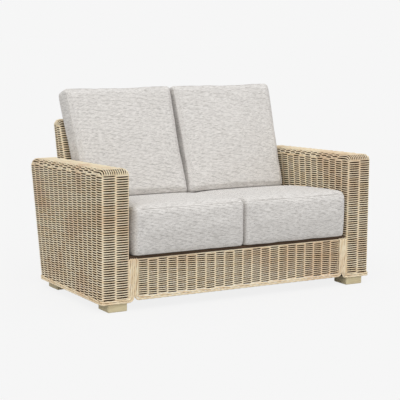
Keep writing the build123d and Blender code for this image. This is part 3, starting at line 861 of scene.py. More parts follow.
def foam_finish():
    """Open foam: pale cream with fine cells."""
    finish = Finish("foam_cells", 0.95, 0.1)
    inputs = {"Vector": finish.place(), "Scale": 500.0}
    cell = Num(finish, finish.node("ShaderNodeTexVoronoi", None, inputs).outputs["Distance"])
    stops = [(0.1, (0.82, 0.76, 0.58)), (0.7, (0.66, 0.58, 0.40))]
    return finish.coat(finish.ramp(cell, stops), cell, 0.5 * MM)


def steel_finish():
    """Zinc-plated screws: fine brushing and dull patches."""
    finish = Finish("zinc_steel", 0.35, 0.5)
    finish.shader.inputs["Metallic"].default_value = 1.0
    brushed = finish.noise((200, 900, 900), 1.0, 3.0)
    colour = finish.ramp(brushed, [(0.3, (0.42, 0.42, 0.43)), (0.7, (0.68, 0.68, 0.70))])
    return finish.coat(colour, brushed, 0.1 * MM, 0.4, brushed * 0.3 + 0.2)


def paint_all(material, *names):
    """Give every node of the frame whose name ends in one of the names its finish."""
    for name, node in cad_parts.items():
        if name.endswith(names):
            dress(node, material)


def shared_material(key, make, *values):
    """A material made once and found again by its name."""
    return bpy.data.materials.get(key) or make(*values)


def cane(sizes):
    """The woven cane's finish, shared by all the woven panels."""
    return shared_material("woven_cane", cane_finish, "woven_cane", sizes)


class WeaveArms(bpy.types.Operator):
    """Weave both arms: rings round the sides, rows over the top and stakes inside"""

    bl_idname = "sofa.weave_arms"
    bl_label = "Arm weave"

    def execute(self, context):
        sizes = context.scene.sofa_weave
        material = cane(sizes)
        count = sizes.side_stakes
        stake = ring_steps(count, 10, SAMPLES)
        rise = ARM_FRONT_HEIGHT - sizes.shoulder - weave_base
        rows = round(rise / sizes.row_pitch)
        for name, side in SIDES.items():
            chance = np.random.default_rng(11 + side)
            node = f"{name}_arm_weave"
            rings = [arm_ring(side, sizes, row / (rows - 1), stake) for row in range(rows)]
            grid = weave_rings(node, sizes, chance, rings, stake, material)
            caps = Strands()
            over = arm_cap(side, sizes)
            for index, (line, out, steps) in enumerate(over):
                parity = parity_of(rows + index) * (CALM if index in (0, len(over) - 1) else 1.0)
                weave_strand(caps, sizes, chance, line, out, steps, parity)
            settle(caps.build(f"{node}_top"), material, "frame", "rattan_weave", node)
            tops = np.array([at_stakes(line, steps) for line, _, steps in over])
            stand_stakes(f"{name}_arm_stakes", sizes, count, grid, tops)
        return {"FINISHED"}


class WeaveBack(bpy.types.Operator):
    """Weave the back: rings round the wedge, rows over the roll and the skirt behind"""

    bl_idname = "sofa.weave_back"
    bl_label = "Back weave"

    def execute(self, context):
        sizes = context.scene.sofa_weave
        material = cane(sizes)
        chance = np.random.default_rng(5)
        count = sizes.back_stakes
        stake = ring_steps(count, 8, 4)
        top = back_height - BACK_ROLL_ROUND
        rows = round((top - BACK_BASE) / sizes.row_pitch)
        heights = BACK_BASE + (np.arange(rows) + 0.5) / rows * (top - BACK_BASE)
        rings = [self.ring(sizes, height, stake) for height in heights]
        grid = weave_rings("back_weave", sizes, chance, rings, stake, material, 1.1)
        roll, over = self.roll(sizes, chance, rows, top)
        settle(roll.build("back_weave_roll"), material, "frame", "rattan_weave", "back_weave")
        skirt, feet = self.skirt(sizes, chance)
        settle(skirt.build("back_weave_skirt"), material, "frame", "rattan_weave", "back_weave")
        stand_stakes("back_stakes", sizes, count, grid, over, feet)
        return {"FINISHED"}

    @staticmethod
    def ring(sizes, height, stake):
        """Middle line and outward directions of the ring round the back at a height."""
        inset = weave_inset(sizes)
        half = back_half - inset
        rear = rear_y(height, inset)
        front = rest_y(max(height, BACK_KNEE), inset)
        middle = (rear + front) / 2
        corners = [(-half, middle), (-half, rear), (half, rear), (half, front), (-half, front)]
        bends = [0, *[sizes.upright_round - inset] * 4, 0]
        route = Route([(*c, height) for c in corners + corners[:1]], bends)
        line, ahead = route.at(ring_lengths(route, stake, sizes.back_stakes))
        return line, np.cross((0, 0, 1), ahead)

    @staticmethod
    def roll(sizes, chance, rows, top):
        """Strands along the rolled top that bend down over its two ends, and their stakes."""
        inset = weave_inset(sizes)
        radius = BACK_ROLL_ROUND - inset
        crest = back_height - inset
        low = top - 1.5 * MM
        below = low - 40 * MM
        section = Route(
            [
                (rear_y(below, inset), below),
                (rear_y(crest, inset), crest),
                (rest_y(crest, inset), crest),
                (rest_y(below, inset), below),
            ],
            [0, radius, radius, 0],
        )
        dense = np.linspace(0, section.length, 400)
        above = dense[section.at(dense)[0][:, 1] > top]
        count = 2 * round((above[-1] - above[0]) / sizes.row_pitch / 2)
        spots = above[0] + (np.arange(count) + 0.5) / count * (above[-1] - above[0])
        places, turns = section.at(spots)
        stakes = sizes.back_stakes
        pitch = 2 * back_half / stakes
        half = back_half - inset
        steps = open_steps(stakes)
        strands = Strands()
        over = []
        for index, ((y, z), (turn_y, turn_z)) in enumerate(zip(places, turns)):
            drop = max(z - low, 1 * MM)
            bend = min(15 * MM, 0.9 * drop)
            corners = [(-half, y, z - drop), (-half, y, z), (half, y, z), (half, y, z - drop)]
            route = Route(corners, [0, bend, bend, 0])
            known = [0, pitch + drop, route.length - pitch - drop, route.length]
            line, ahead = route.at(np.interp(steps, [-0.5, 0.5, stakes - 1.5, stakes - 0.5], known))
            out = unit(np.cross((0, turn_y, turn_z), ahead))
            weave_strand(strands, sizes, chance, line, out, steps, parity_of(rows + index))
            over.append(at_stakes(line, steps))
        return strands, np.array(over)

    @staticmethod
    def skirt(sizes, chance):
        """Strands of the flat skirt under the back's wedge, and their points at the stakes."""
        inset = weave_inset(sizes)
        rows = round((BACK_BASE - weave_base) / sizes.row_pitch)
        steps = open_steps(sizes.back_stakes)
        out = unit(np.array([0, 1, -RAKE]))
        strands = Strands()
        feet = []
        for row in range(rows):
            height = weave_base + (row + 0.5) / rows * (BACK_BASE - weave_base)
            line = level_row(steps, back_half - 2 * MM, rear_y(height, inset), height)
            parity = parity_of(row + rows)
            weave_strand(strands, sizes, chance, line, out, steps, parity, False, 1.1)
            feet.append(at_stakes(line, steps))
        return strands, np.array(feet)


class WeaveApron(bpy.types.Operator):
    """Weave the apron under the seat front, with its stakes and bound top edge"""

    bl_idname = "sofa.weave_apron"
    bl_label = "Apron weave"

    def execute(self, context):
        sizes = context.scene.sofa_weave
        chance = np.random.default_rng(3)
        face = apron_low.y + weave_inset(sizes)
        rise = apron_top - apron_base
        rows = round(rise / sizes.apron_pitch)
        steps = open_steps(sizes.apron_stakes)
        half = apron_half - 1 * MM
        strands = Strands()
        posts = []
        for row in range(rows):
            line = level_row(steps, half, face, apron_base + (row + 0.5) / rows * rise)
            parity = parity_of(row) * (CALM if row == rows - 1 else 1.0)
            out = np.array([0.0, -1.0, 0.0])
            weave_strand(strands, sizes, chance, line, out, steps, parity, False, 0.9)
            posts.append(at_stakes(line, steps))
        for index in range(2):
            y = face + (index + 0.6) * 2 * sizes.strand_width
            line = level_row(steps, half, y, apron_top - 2 * MM)
            tone = cane_tone(chance, 2 * apron_half, len(line))
            # Their recess of 0.2 paints a little shade on the bound edge under the seat cushions'
            # overhang
            strands.add(line, (0.0, 0.0, 1.0), sizes.strand_width, sizes.strand_depth, tone, 0.2)
        piece = strands.build("apron_weave_rows")
        settle(piece, cane(sizes), "frame", "rattan_weave", "apron_weave")
        stakes = Strands(5)
        for line in np.array(posts)[::3].transpose(1, 0, 2):
            add_stake(stakes, sizes, line)
        material = shared_material("stake_cane", stake_finish, sizes)
        settle(stakes.build("apron_stakes"), material, "frame", "rattan_weave")
        return {"FINISHED"}


def twist(strands, chance, corners, radii):
    """Three strands that wind about a rod's middle line, a third of a turn apart.

    Each strand lies at middle + r (cos(a) first + sin(a) second), with a growing along the
    line by a full turn for each lay. The first direction is across the line and (1, 1, 1),
    which no run of the borders follows.
    """
    lay = 100 * MM
    strand = 2.6 * MM
    offset = ROD - strand + 0.5 * MM
    route = Route(corners, radii)
    lengths = np.linspace(0, route.length, int(route.length / (6 * MM)))
    line, ahead = route.at(lengths)
    first = unit(np.cross(ahead, (1.0, 1.0, 1.0)))
    second = np.cross(ahead, first)
    start = chance.random() * pi
    for third in range(3):
        angle = start + 2 * pi * (third / 3 + lengths / lay)
        around = first * np.cos(angle)[:, None] + second * np.sin(angle)[:, None]
        tone = cane_tone(chance, route.length, len(line)) + 0.4 * (third - 1)
        strands.add(line + offset * around, around, strand, strand * 0.85, tone, 0.0)


class TwistBorders(bpy.types.Operator):
    """Wind the cane borders along the bottom edges and up beside the apron"""

    bl_idname = "sofa.twist_borders"
    bl_label = "Cane borders"

    def execute(self, context):
        material = cane_finish("border_cane", context.scene.sofa_weave, 0.02)
        rod_y = front_y + ROD
        border_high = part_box("apron_border")[1]
        top, back = border_high.z - ROD, border_high.y
        bend, over = 10 * MM, 8 * MM
        for name, side in SIDES.items():
            chance = np.random.default_rng(21 + side)
            strands = Strands()
            for index in range(2):
                x = side * (arm_inner_x - ROD - index * ROD_PITCH)
                z = foot_height + ROD + (1 - index) * ROD_PITCH
                outer = side * (arm_outer_x - ROD)
                end = side * (arm_inner_x + ROD)
                rear = rear_y(z, ROD)
                corners = [
                    (x, back, top), (x, rod_y, top), (x, rod_y, z), (outer, rod_y, z),
                    (outer, rear, z), (end, rear, z),
                ]
                turn = bend + index * ROD_PITCH
                twist(strands, chance, corners, [0, over, turn, bend, bend, 0])
            x, y = side * (arm_inner_x + 3 * MM), front_y + 2.2 * ROD
            twist(strands, chance, [(x, y, top), (x, y, foot_height + ROD)], [0, 0])
            piece = strands.build(f"{name}_arm_border_twist")
            settle(piece, material, "frame", "cane_rod", f"{name}_arm_border")
        chance = np.random.default_rng(31)
        strands = Strands()
        for index in (2, 3):
            x = arm_inner_x - ROD - index * ROD_PITCH
            z = foot_height + APRON_LIFT + ROD + (index - 2) * ROD_PITCH
            turn = bend + (3 - index) * ROD_PITCH
            corners = [
                (-x, back, top), (-x, rod_y, top), (-x, rod_y, z),
                (x, rod_y, z), (x, rod_y, top), (x, back, top),
            ]
            twist(strands, chance, corners, [0, over, turn, turn, over, 0])
        settle(strands.build("apron_border_twist"), material, "frame", "cane_rod", "apron_border")
        strands = Strands()
        for index in range(2):
            z = foot_height + ROD + index * ROD_PITCH
            y = rear_y(z, ROD)
            twist(strands, chance, [(-back_half, y, z), (back_half, y, z)], [0, 0])
        settle(strands.build("back_border_twist"), material, "frame", "cane_rod", "back_border")
        return {"FINISHED"}


class FinishFrame(bpy.types.Operator):
    """Finish the poles, seat rails, corner blocks, webbing and screws"""

    bl_idname = "sofa.finish_frame"
    bl_label = "Inner frame"

    def execute(self, context):
        poles = (
            "_pole", "_posts", "_studs", "_struts", "arm_bottom_rails", "cross_rails", "top_rails",
        )
        paint_all(pole_finish(context.scene.sofa_weave), *poles)
        # Painted shadow: the deck rails are coloured near black-brown to stand in for the shadow
        # under the seat cushions
        painted_shade_wood = ((0.105, 0.062, 0.034), (0.045, 0.026, 0.015))
        along_y = wood_finish("painted_shade_along", *painted_shade_wood, 1, 12, 0.6)
        along_x = wood_finish("painted_shade_across", *painted_shade_wood, 0, 12, 0.6)
        paint_all(along_x, "front_rail", "rear_rail")
        paint_all(along_y, "side_rail", "middle_rail", "corner_blocks")
        paint_all(webbing_finish(), "seat_webbing")
        paint_all(steel_finish(), "_screws")
        return {"FINISHED"}


class FinishFeet(bpy.types.Operator):
    """Finish the four limed wood feet"""

    bl_idname = "sofa.finish_feet"
    bl_label = "Feet"

    def execute(self, context):
        wood = wood_finish("limed_wood", (0.80, 0.71, 0.47), (0.62, 0.52, 0.32), 0, 10, 0.6)
        paint_all(wood, "_foot")
        return {"FINISHED"}


def cube_grid(count):
    """Points and faces of a cube's surface from -1 to 1, closer together near its edges.

    Each face is a grid of sin(pi t / 2) for t from -1 to 1 in both directions.
    """
    spread = np.sin(pi / 2 * np.linspace(-1, 1, count + 1))
    first, second = np.meshgrid(spread, spread, indexing="ij")
    one = np.ones_like(first)
    faces = []
    for axis in range(3):
        for sign in (-1, 1):
            sheet = [None] * 3
            sheet[axis] = sign * one
            sheet[(axis + 1) % 3], sheet[(axis + 2) % 3] = first, second
            grid = np.stack(sheet, -1)
            faces.append(grid if sign > 0 else grid[::-1])
    points = np.concatenate([f.reshape(-1, 3) for f in faces])
    here = np.arange((count + 1) ** 2).reshape(count + 1, count + 1)
    quad = np.stack([here[:-1, :-1], here[1:, :-1], here[1:, 1:], here[:-1, 1:]], -1).reshape(-1, 4)
    quads = np.concatenate([quad + index * (count + 1) ** 2 for index in range(6)])
    keys = np.round(points * 1e6).astype(np.int64)
    _, first_seen, shared = np.unique(keys, axis=0, return_index=True, return_inverse=True)
    return points[first_seen], shared.ravel()[quads]


def rounded(points, halves, radius):
    """Points of a cube pressed onto a box whose edges are rounded.

    Each point is moved to the inner box plus radius in its own direction from it.
    """
    halves = np.array(halves)
    core = np.clip(points * halves, radius - halves, halves - radius)
    return core + radius * unit(points * halves - core)


def bowl(a, b, power=2.0):
    """1 in the middle of a face, falling to 0 at its edges."""
    return (1 - np.abs(a) ** power) * (1 - np.abs(b) ** power)


def ripple(points, seed, size, length):
    """Slow unevenness from a few waves in chosen directions."""
    chance = np.random.default_rng(seed)
    total = np.zeros(len(points))
    for _ in range(7):
        way = chance.normal(size=3)
        way *= 2 * pi / length / np.linalg.norm(way) * chance.uniform(0.6, 1.5)
        total += np.sin(points @ way + chance.uniform(0, 2 * pi))
    return size * total / 3


def fall(depth, drop, radius):
    """Distances from two faces that meet in an edge, pressed onto an arc of a radius there.

    The offset from the arc's middle is shortened by its larger part over its length.
    """
    ahead, over = np.maximum(radius - depth, 0), np.maximum(radius - drop, 0)
    keep = np.maximum(ahead, over) / np.maximum(np.hypot(ahead, over), 1e-9)
    both = (ahead > 0) & (over > 0)
    return np.where(both, radius - ahead * keep, depth), np.where(both, radius - over * keep, drop)


def quad_place(corners, low, high):
    """Places between four YZ corners, by shares of the depth and of the height.

    The corners are bottom front, top front, top rear and bottom rear.
    """
    corners = np.array(corners)
    front = corners[0] + (corners[1] - corners[0]) * high[:, None]
    rear = corners[3] + (corners[2] - corners[3]) * high[:, None]
    return front + (rear - front) * low[:, None]


# Cushion meshes: cells along an edge, the form before it is filled, and the steps of filling
CUSHION_CELLS = 44
UNFILLED = 0.85
FILL_STEPS = 20
SLOW_WAVE = 190 * MM


class Cushion:
    """A boxed cushion: a rounded box over four YZ corners, crowned on every face.

    The falls are the radii of its upper and lower front edges. The crowns are the heights of
    its front, rear, top, bottom and end faces, and how far its inner side bulges or is waisted.
    The pull draws its front and top corners in along X, and the taper narrows it downwards.
    """

    def __init__(self, side, corners, x_limits, radius, falls, crowns, pull, taper, seed):
        self.side, self.corners, self.x_limits = side, np.array(corners), x_limits
        self.radius, self.falls, self.crowns = radius, falls, crowns
        self.pull, self.taper, self.seed = pull, taper, seed
        depth = np.linalg.norm(self.corners[3] - self.corners[0])
        height = np.linalg.norm(self.corners[1] - self.corners[0])
        self.halves = ((x_limits[1] - x_limits[0]) / 2, depth / 2, height / 2)

    def form(self, points, fullness=1.0):
        """Places of cube points: rounded, set between the corners, then crowned.

        A face's crown is its height times a share that is 1 in the middle of the face and 0
        at its edges.
        """
        box = rounded(points, self.halves, self.radius) / np.array(self.halves)
        a, b, c = box.T
        depth_half, height_half = self.halves[1:]
        depth, drop = fall((1 + b) * depth_half, (1 - c) * height_half, self.falls[0])
        b, c = depth / depth_half - 1, 1 - drop / height_half
        depth, rise = fall((1 + b) * depth_half, (1 + c) * height_half, self.falls[1])
        b, c = depth / depth_half - 1, rise / height_half - 1
        ahead, behind, above, below = (np.clip(part, 0, 1) for part in (-b, b, c, -c))
        front, rear, top, bottom, end, waist = self.crowns
        depth_way = unit(self.corners[3] - self.corners[0])
        up_way = np.array([-depth_way[1], depth_way[0]])
        forward = (front * ahead**3 - rear * behind**3) * bowl(a, c)
        upward = (top * above**3 - bottom * below**3) * bowl(a**3, b)
        place = quad_place(self.corners, (b + 1) / 2, (c + 1) / 2)
        place = place - forward[:, None] * fullness * depth_way
        place = place + upward[:, None] * fullness * up_way
        x = sum(self.x_limits) / 2 + a * self.halves[0]
        x = x - self.taper * (1 - c) / 2 * (a + 1) / 2
        inner = -waist * (1 - b) / 2
        x = x + np.where(a > 0, end, inner) * fullness * np.abs(a) ** 3 * bowl(b, c, 4.0)
        corner = np.abs(a) ** 6 * (ahead**6 * self.pull[0] + above**6 * self.pull[1])
        x = x - np.sign(a) * corner * np.where(a > 0, 1.0, 0.55)
        return np.stack([self.side * x, place[:, 0], place[:, 1]], -1)

    def mesh(self, name, fullness):
        """The cushion as a closed mesh, its crowns at a share of their height."""
        points, quads = cube_grid(CUSHION_CELLS)
        if self.side < 0:
            quads = quads[:, ::-1]
        return new_mesh(name, self.form(points, fullness), quads)

    def edge(self, axis, sign, count=260):
        """Places round the rim of one face, for its seam."""
        turn = np.linspace(0, 2 * pi, count, endpoint=False)
        square = np.stack([np.cos(turn), np.sin(turn)], -1)
        square = square / np.abs(square).max(1, keepdims=True)
        points = np.zeros((count, 3))
        points[:, axis] = sign
        points[:, [i for i in range(3) if i != axis]] = square
        return self.form(points * 0.9999)


def read(mesh, key="co"):
    """The places, or the normals, of a mesh's points as an array."""
    held = np.empty(len(mesh.vertices) * 3, np.float32)
    mesh.vertices.foreach_get(key, held)
    return held.reshape(-1, 3).astype(float)


def applied(piece):
    """Bake a piece's modifiers into its mesh."""
    graph = bpy.context.evaluated_depsgraph_get()
    baked = bpy.data.meshes.new_from_object(piece.evaluated_get(graph))
    old = piece.data
    piece.modifiers.clear()
    piece.data = baked
    bpy.data.meshes.remove(old)


def fill_with_air(piece, sizes):
    """Remesh a cushion's cloth and swell it with Blender's cloth solver: its start and moves."""
    remesh = piece.modifiers.new("cells", "REMESH")
    remesh.mode = "VOXEL"
    remesh.voxel_size = sizes.voxel
    applied(piece)
    start = read(piece.data)
    settings = piece.modifiers.new("cloth", "CLOTH").settings
    settings.quality = 4
    settings.mass = 0.3
    settings.tension_stiffness = 20
    settings.compression_stiffness = 20
    settings.bending_stiffness = 2
    settings.use_pressure = True
    settings.uniform_pressure_force = sizes.pressure
    settings.effector_weights.gravity = 0
    scene = bpy.context.scene
    for step in range(1, FILL_STEPS + 1):
        scene.frame_set(step)
    graph = bpy.context.evaluated_depsgraph_get()
    swollen = read(piece.evaluated_get(graph).to_mesh())
    piece.modifiers.clear()
    scene.frame_set(1)
    return start, swollen - start


def soft_limit(values, limit, ease=3 * MM):
    """The lower of two values, blended over a short distance: limit - ease log(1 + e^gap)."""
    gap = np.clip((limit - values) / ease, -40, 40)
    return np.where(gap >= 40, values, limit - ease * np.log1p(np.exp(gap)))


def soft_floor(values, limit, ease=3 * MM):
    """The higher of two values, blended over a short distance."""
    return -soft_limit(-values, -limit, ease)


def sew(piece, cushion, axis, sizes):
    """Thin seams on a finished cushion, round the rims of the two faces across an axis."""
    strands = Strands(5)
    for sign in (1, -1):
        nearest = [piece.closest_point_on_mesh(Vector(p))[1:3] for p in cushion.edge(axis, sign)]
        line, out = (np.array(held) for held in zip(*nearest))
        for _ in range(4):
            line = (np.roll(line, 1, 0) + 2 * line + np.roll(line, -1, 0)) / 4
            out = unit(np.roll(out, 1, 0) + 2 * out + np.roll(out, -1, 0))
        strands.add(line, out, sizes.seam_radius, sizes.seam_radius, 0.5, 0.0, True)
    return strands.build(f"{piece.name}_seams")


def set_places(piece, places):
    """Write an array of points into a piece's mesh."""
    piece.data.vertices.foreach_set("co", places.astype(np.float32).ravel())
    piece.data.update()


def fluff(piece, seed, size, length):
    """Places of a piece's points, raised and lowered along their normals by slow waves."""
    places = read(piece.data)
    return places + read(piece.data, "normal") * ripple(places, seed, size, length)[:, None]


def make_cushion(name, cushion, sizes, trim):
    """A filled cushion: the cloth swells from a slimmer form, then is trimmed to its room."""
    piece = cushion.mesh(name, UNFILLED)
    start, grown = fill_with_air(piece, sizes)
    facing = read(piece.data, "normal")
    along = (grown * facing).sum(1, keepdims=True)
    sideways = grown - along * facing
    grown = np.where(along > 0, along, sizes.give * along) * facing + sizes.give * sideways
    size = np.linalg.norm(grown, axis=1, keepdims=True)
    grown = grown * np.minimum(1, sizes.swell / np.maximum(size, 1e-9))
    set_places(piece, start + grown)
    set_places(piece, trim(fluff(piece, cushion.seed, 1.2 * MM, SLOW_WAVE)))
    smooth = piece.modifiers.new("smooth", "SUBSURF")
    smooth.levels = smooth.render_levels = 1
    applied(piece)
    set_places(piece, trim(read(piece.data)))
    piece.data.polygons.foreach_set("use_smooth", np.ones(len(piece.data.polygons), bool))
    return piece


def cover(name, part, cushion, sizes, trim, rim_axis):
    """Make one cushion's cover and seams and seat them on its body."""
    body = f"{name}_{part}"
    cloth = shared_material("slub_linen", cloth_finish, sizes)
    thread = shared_material("linen_seam", seam_finish, sizes)
    piece = make_cushion(f"{body}_cover", cushion, sizes, trim)
    settle(piece, cloth, body, "cushion_fabric", f"{body}_cushion")
    settle(sew(piece, cushion, rim_axis, sizes), thread, body, "cushion_fabric")


# Seat cushions: the four corners of their section and the surface that the backs stand on
SEAT_THICKNESS = 212 * MM
SEAT_CROWN = 22 * MM
SEAT_DROOP = 11 * MM
SEAT_OVERHANG = 14 * MM
SEAT_FRONT_LEAN = 4 * MM
SEAT_FRONT_CROWN = 9 * MM
seat_front = front_y - SEAT_OVERHANG
seat_front_low = (seat_front, deck_z(seat_front) - SEAT_DROOP)
seat_front_top = (seat_front - SEAT_FRONT_LEAN, DECK_FRONT + SEAT_THICKNESS)
seat_rear_top_y = rest_y(BACK_KNEE) - 7 * MM
seat_rear_low_y = seat_rear_top_y - SEAT_THICKNESS * sin(DECK_ANGLE)
seat_rear_low = (seat_rear_low_y, deck_z(seat_rear_low_y) + 0.5 * MM)
seat_rear_top = (seat_rear_top_y, deck_z(seat_rear_low_y) + SEAT_THICKNESS * cos(DECK_ANGLE))
SEAT_INNER, SEAT_OUTER = 1.5 * MM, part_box("right_seat_cushion")[1].x


def seat_surface(x, y):
    """Top of a seat cushion: a sloping line raised by a crown, lower towards its two ends."""
    depth = (y - seat_front_top[0]) / (seat_rear_top[0] - seat_front_top[0])
    chord = seat_front_top[1] + (seat_rear_top[1] - seat_front_top[1]) * depth
    across = (2 * np.abs(x) - SEAT_INNER - SEAT_OUTER) / (SEAT_OUTER - SEAT_INNER)
    level = 0.3 + 0.7 * (1 - np.clip(across, -1, 1) ** 6)
    return chord + SEAT_CROWN * np.clip(1 - (2 * depth - 1) ** 2, 0, 1) * level


# Where the back cushions start to rest on the seats
LANDING_FRONT = seat_front_top[0] + 0.74 * (seat_rear_top[0] - seat_front_top[0])


class SewSeats(bpy.types.Operator):
    """Make the two seat cushions with their seams"""

    bl_idname = "sofa.sew_seats"
    bl_label = "Seat cushions"

    def execute(self, context):
        corners = [seat_front_low, seat_front_top, seat_rear_top, seat_rear_low]
        crowns = (SEAT_FRONT_CROWN, 4 * MM, SEAT_CROWN, 0.0, 2 * MM, 1 * MM)
        for name, side in SIDES.items():
            cushion = Cushion(
                side, corners, (SEAT_INNER, SEAT_OUTER - 6 * MM), 14 * MM, (40 * MM, 26 * MM),
                crowns, (9 * MM, 3 * MM), 0.0, 40 + side,
            )
            cover(name, "seat", cushion, context.scene.sofa_cushions, self.trim, 2)
        return {"FINISHED"}

    @staticmethod
    def trim(places):
        """Keep a seat cushion over the deck, beside the arms and under the back cushions."""
        x, y, z = places.T
        x = np.sign(x) * np.clip(np.abs(x), SEAT_INNER, SEAT_OUTER - 5 * MM)
        share = np.clip((z - deck_z(y)) / SEAT_THICKNESS, 0, 1)
        crown = SEAT_FRONT_CROWN * 4 * share * (1 - share)
        y = soft_floor(y, seat_front - SEAT_FRONT_LEAN * share - crown - 1 * MM)
        y = soft_limit(y, rest_y(np.maximum(z, BACK_KNEE)) - 3 * MM, 1.5 * MM)
        ceiling = seat_surface(x, y) + 1.5 * MM
        under = np.clip((y - LANDING_FRONT) / (30 * MM), 0, 1)
        z = np.minimum(soft_limit(z, ceiling), ceiling - 2.5 * MM * under)
        lip = np.clip((apron_low.y - 1 * MM - y) / (8 * MM), 0, 1)
        z = np.maximum(z, deck_z(y) + 0.5 * MM - (SEAT_DROOP + 2 * MM) * lip)
        return np.stack([x, y, z], -1)


# Back cushions: their height, the width of their boxing and the crowns of their faces
BACK_TOP = 909 * MM
BOXING = 92 * MM
BACK_CROWN = 27.5 * MM
BACK_REAR = BACK_CROWN + 0.3 * MM
BACK_FRONT_LENGTH, BACK_REAR_LENGTH = 530 * MM, 525 * MM
BACK_INNER, BACK_OUTER = 1.5 * MM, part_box("right_back_cushion")[1].x


class SewBacks(bpy.types.Operator):
    """Make the two back cushions with their seams"""

    bl_idname = "sofa.sew_backs"
    bl_label = "Back cushions"

    def execute(self, context):
        lean_up = np.array([sin(LEAN_ANGLE), cos(LEAN_ANGLE)])
        lean_in = np.array([cos(LEAN_ANGLE), -sin(LEAN_ANGLE)])
        top_front = np.array([rest_y(BACK_TOP, -BACK_REAR - BOXING), BACK_TOP])
        top_rear = top_front + BOXING * lean_in
        low_front = top_front - BACK_FRONT_LENGTH * lean_up
        low_rear = top_rear - BACK_REAR_LENGTH * lean_up
        corners = [low_front, top_front, top_rear, low_rear]
        crowns = (BACK_CROWN, BACK_CROWN, 7 * MM, 6 * MM, 3 * MM, -8 * MM)
        for name, side in SIDES.items():
            cushion = Cushion(
                side, corners, (BACK_INNER, BACK_OUTER), 12 * MM, (14 * MM, 14 * MM),
                crowns, (0.0, 2 * MM), 24 * MM, 60 + side,
            )
            cover(name, "back", cushion, context.scene.sofa_cushions, self.trim, 1)
        return {"FINISHED"}

    @staticmethod
    def trim(places):
        """Keep a back cushion before the back's weave and on the seat cushions."""
        x, y, z = places.T
        x = np.sign(x) * np.clip(np.abs(x), BACK_INNER, BACK_OUTER)
        y = np.minimum(y, rest_y(np.maximum(z, BACK_KNEE)) - 1 * MM)
        z = soft_floor(z, seat_surface(x, y) + 0.5 * MM, 1.5 * MM)
        return np.stack([x, y, z], -1)


class CutFoam(bpy.types.Operator):
    """Cut the foam cores that fill the cushions"""

    bl_idname = "sofa.cut_foam"
    bl_label = "Foam cores"

    def execute(self, context):
        material = foam_finish()
        for name in SIDES:
            for part in ("seat", "back"):
                node = f"{name}_{part}_foam"
                places = read(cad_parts[node].data)
                keys = np.unique(np.round(places * 1e5).astype(int), axis=0) * 1e-5
                piece = self.block(f"{node}_core", keys)
                settle(piece, material, f"{name}_{part}", "foam", node)
        return {"FINISHED"}

    @staticmethod
    def block(name, keys):
        """A block with rounded edges in the place of the frame's eight corners."""
        middle = keys.mean(0)
        x_half = np.abs(keys[:, 0] - middle[0]).max()
        section = keys[keys[:, 0] > middle[0]][:, 1:] - middle[1:]
        corners = section[np.argsort(np.arctan2(section[:, 1], section[:, 0]))]
        first, second = (corners[1] - corners[0]) / 2, (corners[2] - corners[1]) / 2
        halves = (x_half, np.linalg.norm(first), np.linalg.norm(second))
        points, quads = cube_grid(12)
        box = rounded(points, halves, 8 * MM) / np.array(halves)
        flat = box[:, 1:2] * first + box[:, 2:3] * second
        return new_mesh(name, np.column_stack([box[:, 0] * x_half, flat]) + middle, quads)


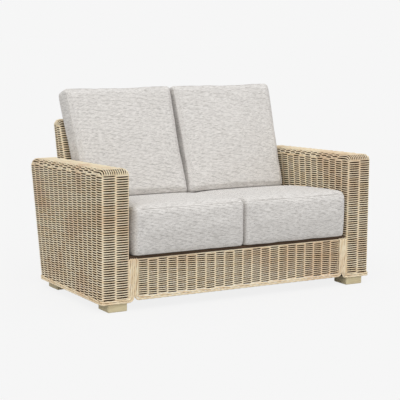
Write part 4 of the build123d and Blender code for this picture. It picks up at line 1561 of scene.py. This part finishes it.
class SetStage(bpy.types.Operator):
    """Lay the floor and set the lamps, the sky and the camera"""

    bl_idname = "sofa.set_stage"
    bl_label = "Stage"

    def execute(self, context):
        sizes = context.scene.sofa_stage
        self.floor(sizes)
        self.sky(sizes)
        self.lamp("key_lamp", sizes.key, radians(27), sizes.key_height)
        self.camera()
        context.scene.view_settings.view_transform = "Standard"
        return {"FINISHED"}

    @staticmethod
    def floor(sizes):
        """A wide floor that the camera sees at the backdrop's brightness, with faint shadows."""
        half = 40.0
        corners = np.array([[-half, -half, 0], [half, -half, 0], [half, half, 0], [-half, half, 0]])
        floor = new_mesh("floor", corners, np.array([[0, 1, 2, 3]]))
        finish = Finish("pale_floor", 0.9, 0.0)
        finish.shader.inputs["Base Color"].default_value = grey(sizes.floor_tone)
        light = sizes.sky + sizes.key * sin(sizes.key_height) / pi
        level = (sizes.backdrop - (1 - sizes.glow) * sizes.floor_tone * light) / sizes.glow
        glow = finish.node("ShaderNodeEmission", None, {"Color": grey(level)})
        inputs = {0: seen(finish) * sizes.glow, 1: finish.shader.outputs[0], 2: glow.outputs[0]}
        mixed = finish.node("ShaderNodeMixShader", None, inputs)
        output = finish.tree.nodes["Material Output"]
        finish.feed(output.inputs["Surface"], mixed.outputs[0])
        dress(floor, finish.material)

    @staticmethod
    def sky(sizes):
        """Even light from all round, seen by the camera as the backdrop."""
        world = bpy.data.worlds.new("soft_sky")
        world.use_nodes = True
        nodes = Nodes(world.node_tree)
        ground = nodes.tree.nodes["Background"]
        nodes.feed(ground.inputs["Color"], grey(1.0))
        nodes.feed(ground.inputs["Strength"], sizes.sky)
        shown = nodes.node("ShaderNodeBackground", None, {"Color": grey(sizes.backdrop)})
        inputs = {0: seen(nodes), 1: ground.outputs[0], 2: shown.outputs[0]}
        mixed = nodes.node("ShaderNodeMixShader", None, inputs)
        nodes.feed(nodes.tree.nodes["World Output"].inputs["Surface"], mixed.outputs[0])
        bpy.context.scene.world = world

    @staticmethod
    def lamp(name, strength, turn, height):
        """A far soft lamp, turned to the left of the front and raised to a height angle."""
        data = bpy.data.lights.new(name, "SUN")
        data.energy, data.angle = strength, radians(70)
        made = bpy.data.objects.new(name, data)
        place = Vector((-sin(turn) * cos(height), -cos(turn) * cos(height), sin(height))) * 5
        made.location = place
        made.rotation_mode = "QUATERNION"
        made.rotation_quaternion = (-place).to_track_quat("-Z", "Y")
        bpy.context.scene.collection.objects.link(made)

    @staticmethod
    def camera():
        """The camera at the photograph's angle, from its yaw, pitch and roll."""
        yaw, pitch, roll = 0.5286, 0.1456, 0.0095
        distance = 6.0613
        target = Vector((-57.96 * MM, front_y + 290 * MM, 406.05 * MM))
        ahead = Vector((sin(yaw) * cos(pitch), cos(yaw) * cos(pitch), -sin(pitch)))
        level = Vector((cos(yaw), -sin(yaw), 0))
        above = level.cross(ahead)
        right = cos(roll) * level + sin(roll) * above
        up = cos(roll) * above - sin(roll) * level
        data = bpy.data.cameras.new("camera")
        data.lens, data.sensor_width = 119.19, 36.0
        data.clip_end = 60.0
        made = bpy.data.objects.new("camera", data)
        made.matrix_world = Matrix.Translation(target - ahead * distance) @ Matrix(
            [(right[i], up[i], -ahead[i]) for i in range(3)]
        ).to_4x4()
        bpy.context.scene.collection.objects.link(made)
        bpy.context.scene.camera = made


STEPS = (
    SetStage, WeaveArms, WeaveBack, WeaveApron, TwistBorders, FinishFrame, FinishFeet, SewSeats,
    SewBacks, CutFoam,
)


class SofaPanel(bpy.types.Panel):
    """The sofa's pieces and their sizes, in the sidebar"""

    bl_idname = "VIEW3D_PT_sofa"
    bl_label = "Rattan Sofa"
    bl_space_type = "VIEW_3D"
    bl_region_type = "UI"
    bl_category = "Sofa"

    def draw(self, context):
        scene = context.scene
        for step in STEPS:
            self.layout.operator(step.bl_idname)
        for group in (scene.sofa_weave, scene.sofa_cushions, scene.sofa_stage):
            box = self.layout.box()
            for key in group.bl_rna.properties.keys():
                if key not in ("rna_type", "name"):
                    box.prop(group, key)


CLASSES = (WeaveSizes, CushionSizes, StageSizes, *STEPS, SofaPanel)


def register():
    """Register the classes and give the scene their sizes."""
    for each in CLASSES:
        bpy.utils.register_class(each)
    bpy.types.Scene.sofa_weave = PointerProperty(type=WeaveSizes)
    bpy.types.Scene.sofa_cushions = PointerProperty(type=CushionSizes)
    bpy.types.Scene.sofa_stage = PointerProperty(type=StageSizes)


def unregister():
    """Take the sizes from the scene and the classes out again."""
    del bpy.types.Scene.sofa_stage
    del bpy.types.Scene.sofa_cushions
    del bpy.types.Scene.sofa_weave
    for each in reversed(CLASSES):
        bpy.utils.unregister_class(each)


def main():
    """Make the sofa step by step."""
    register()
    for step in STEPS:
        group, action = step.bl_idname.split(".")
        getattr(getattr(bpy.ops, group), action)()


if __name__ == "__main__":
    main()
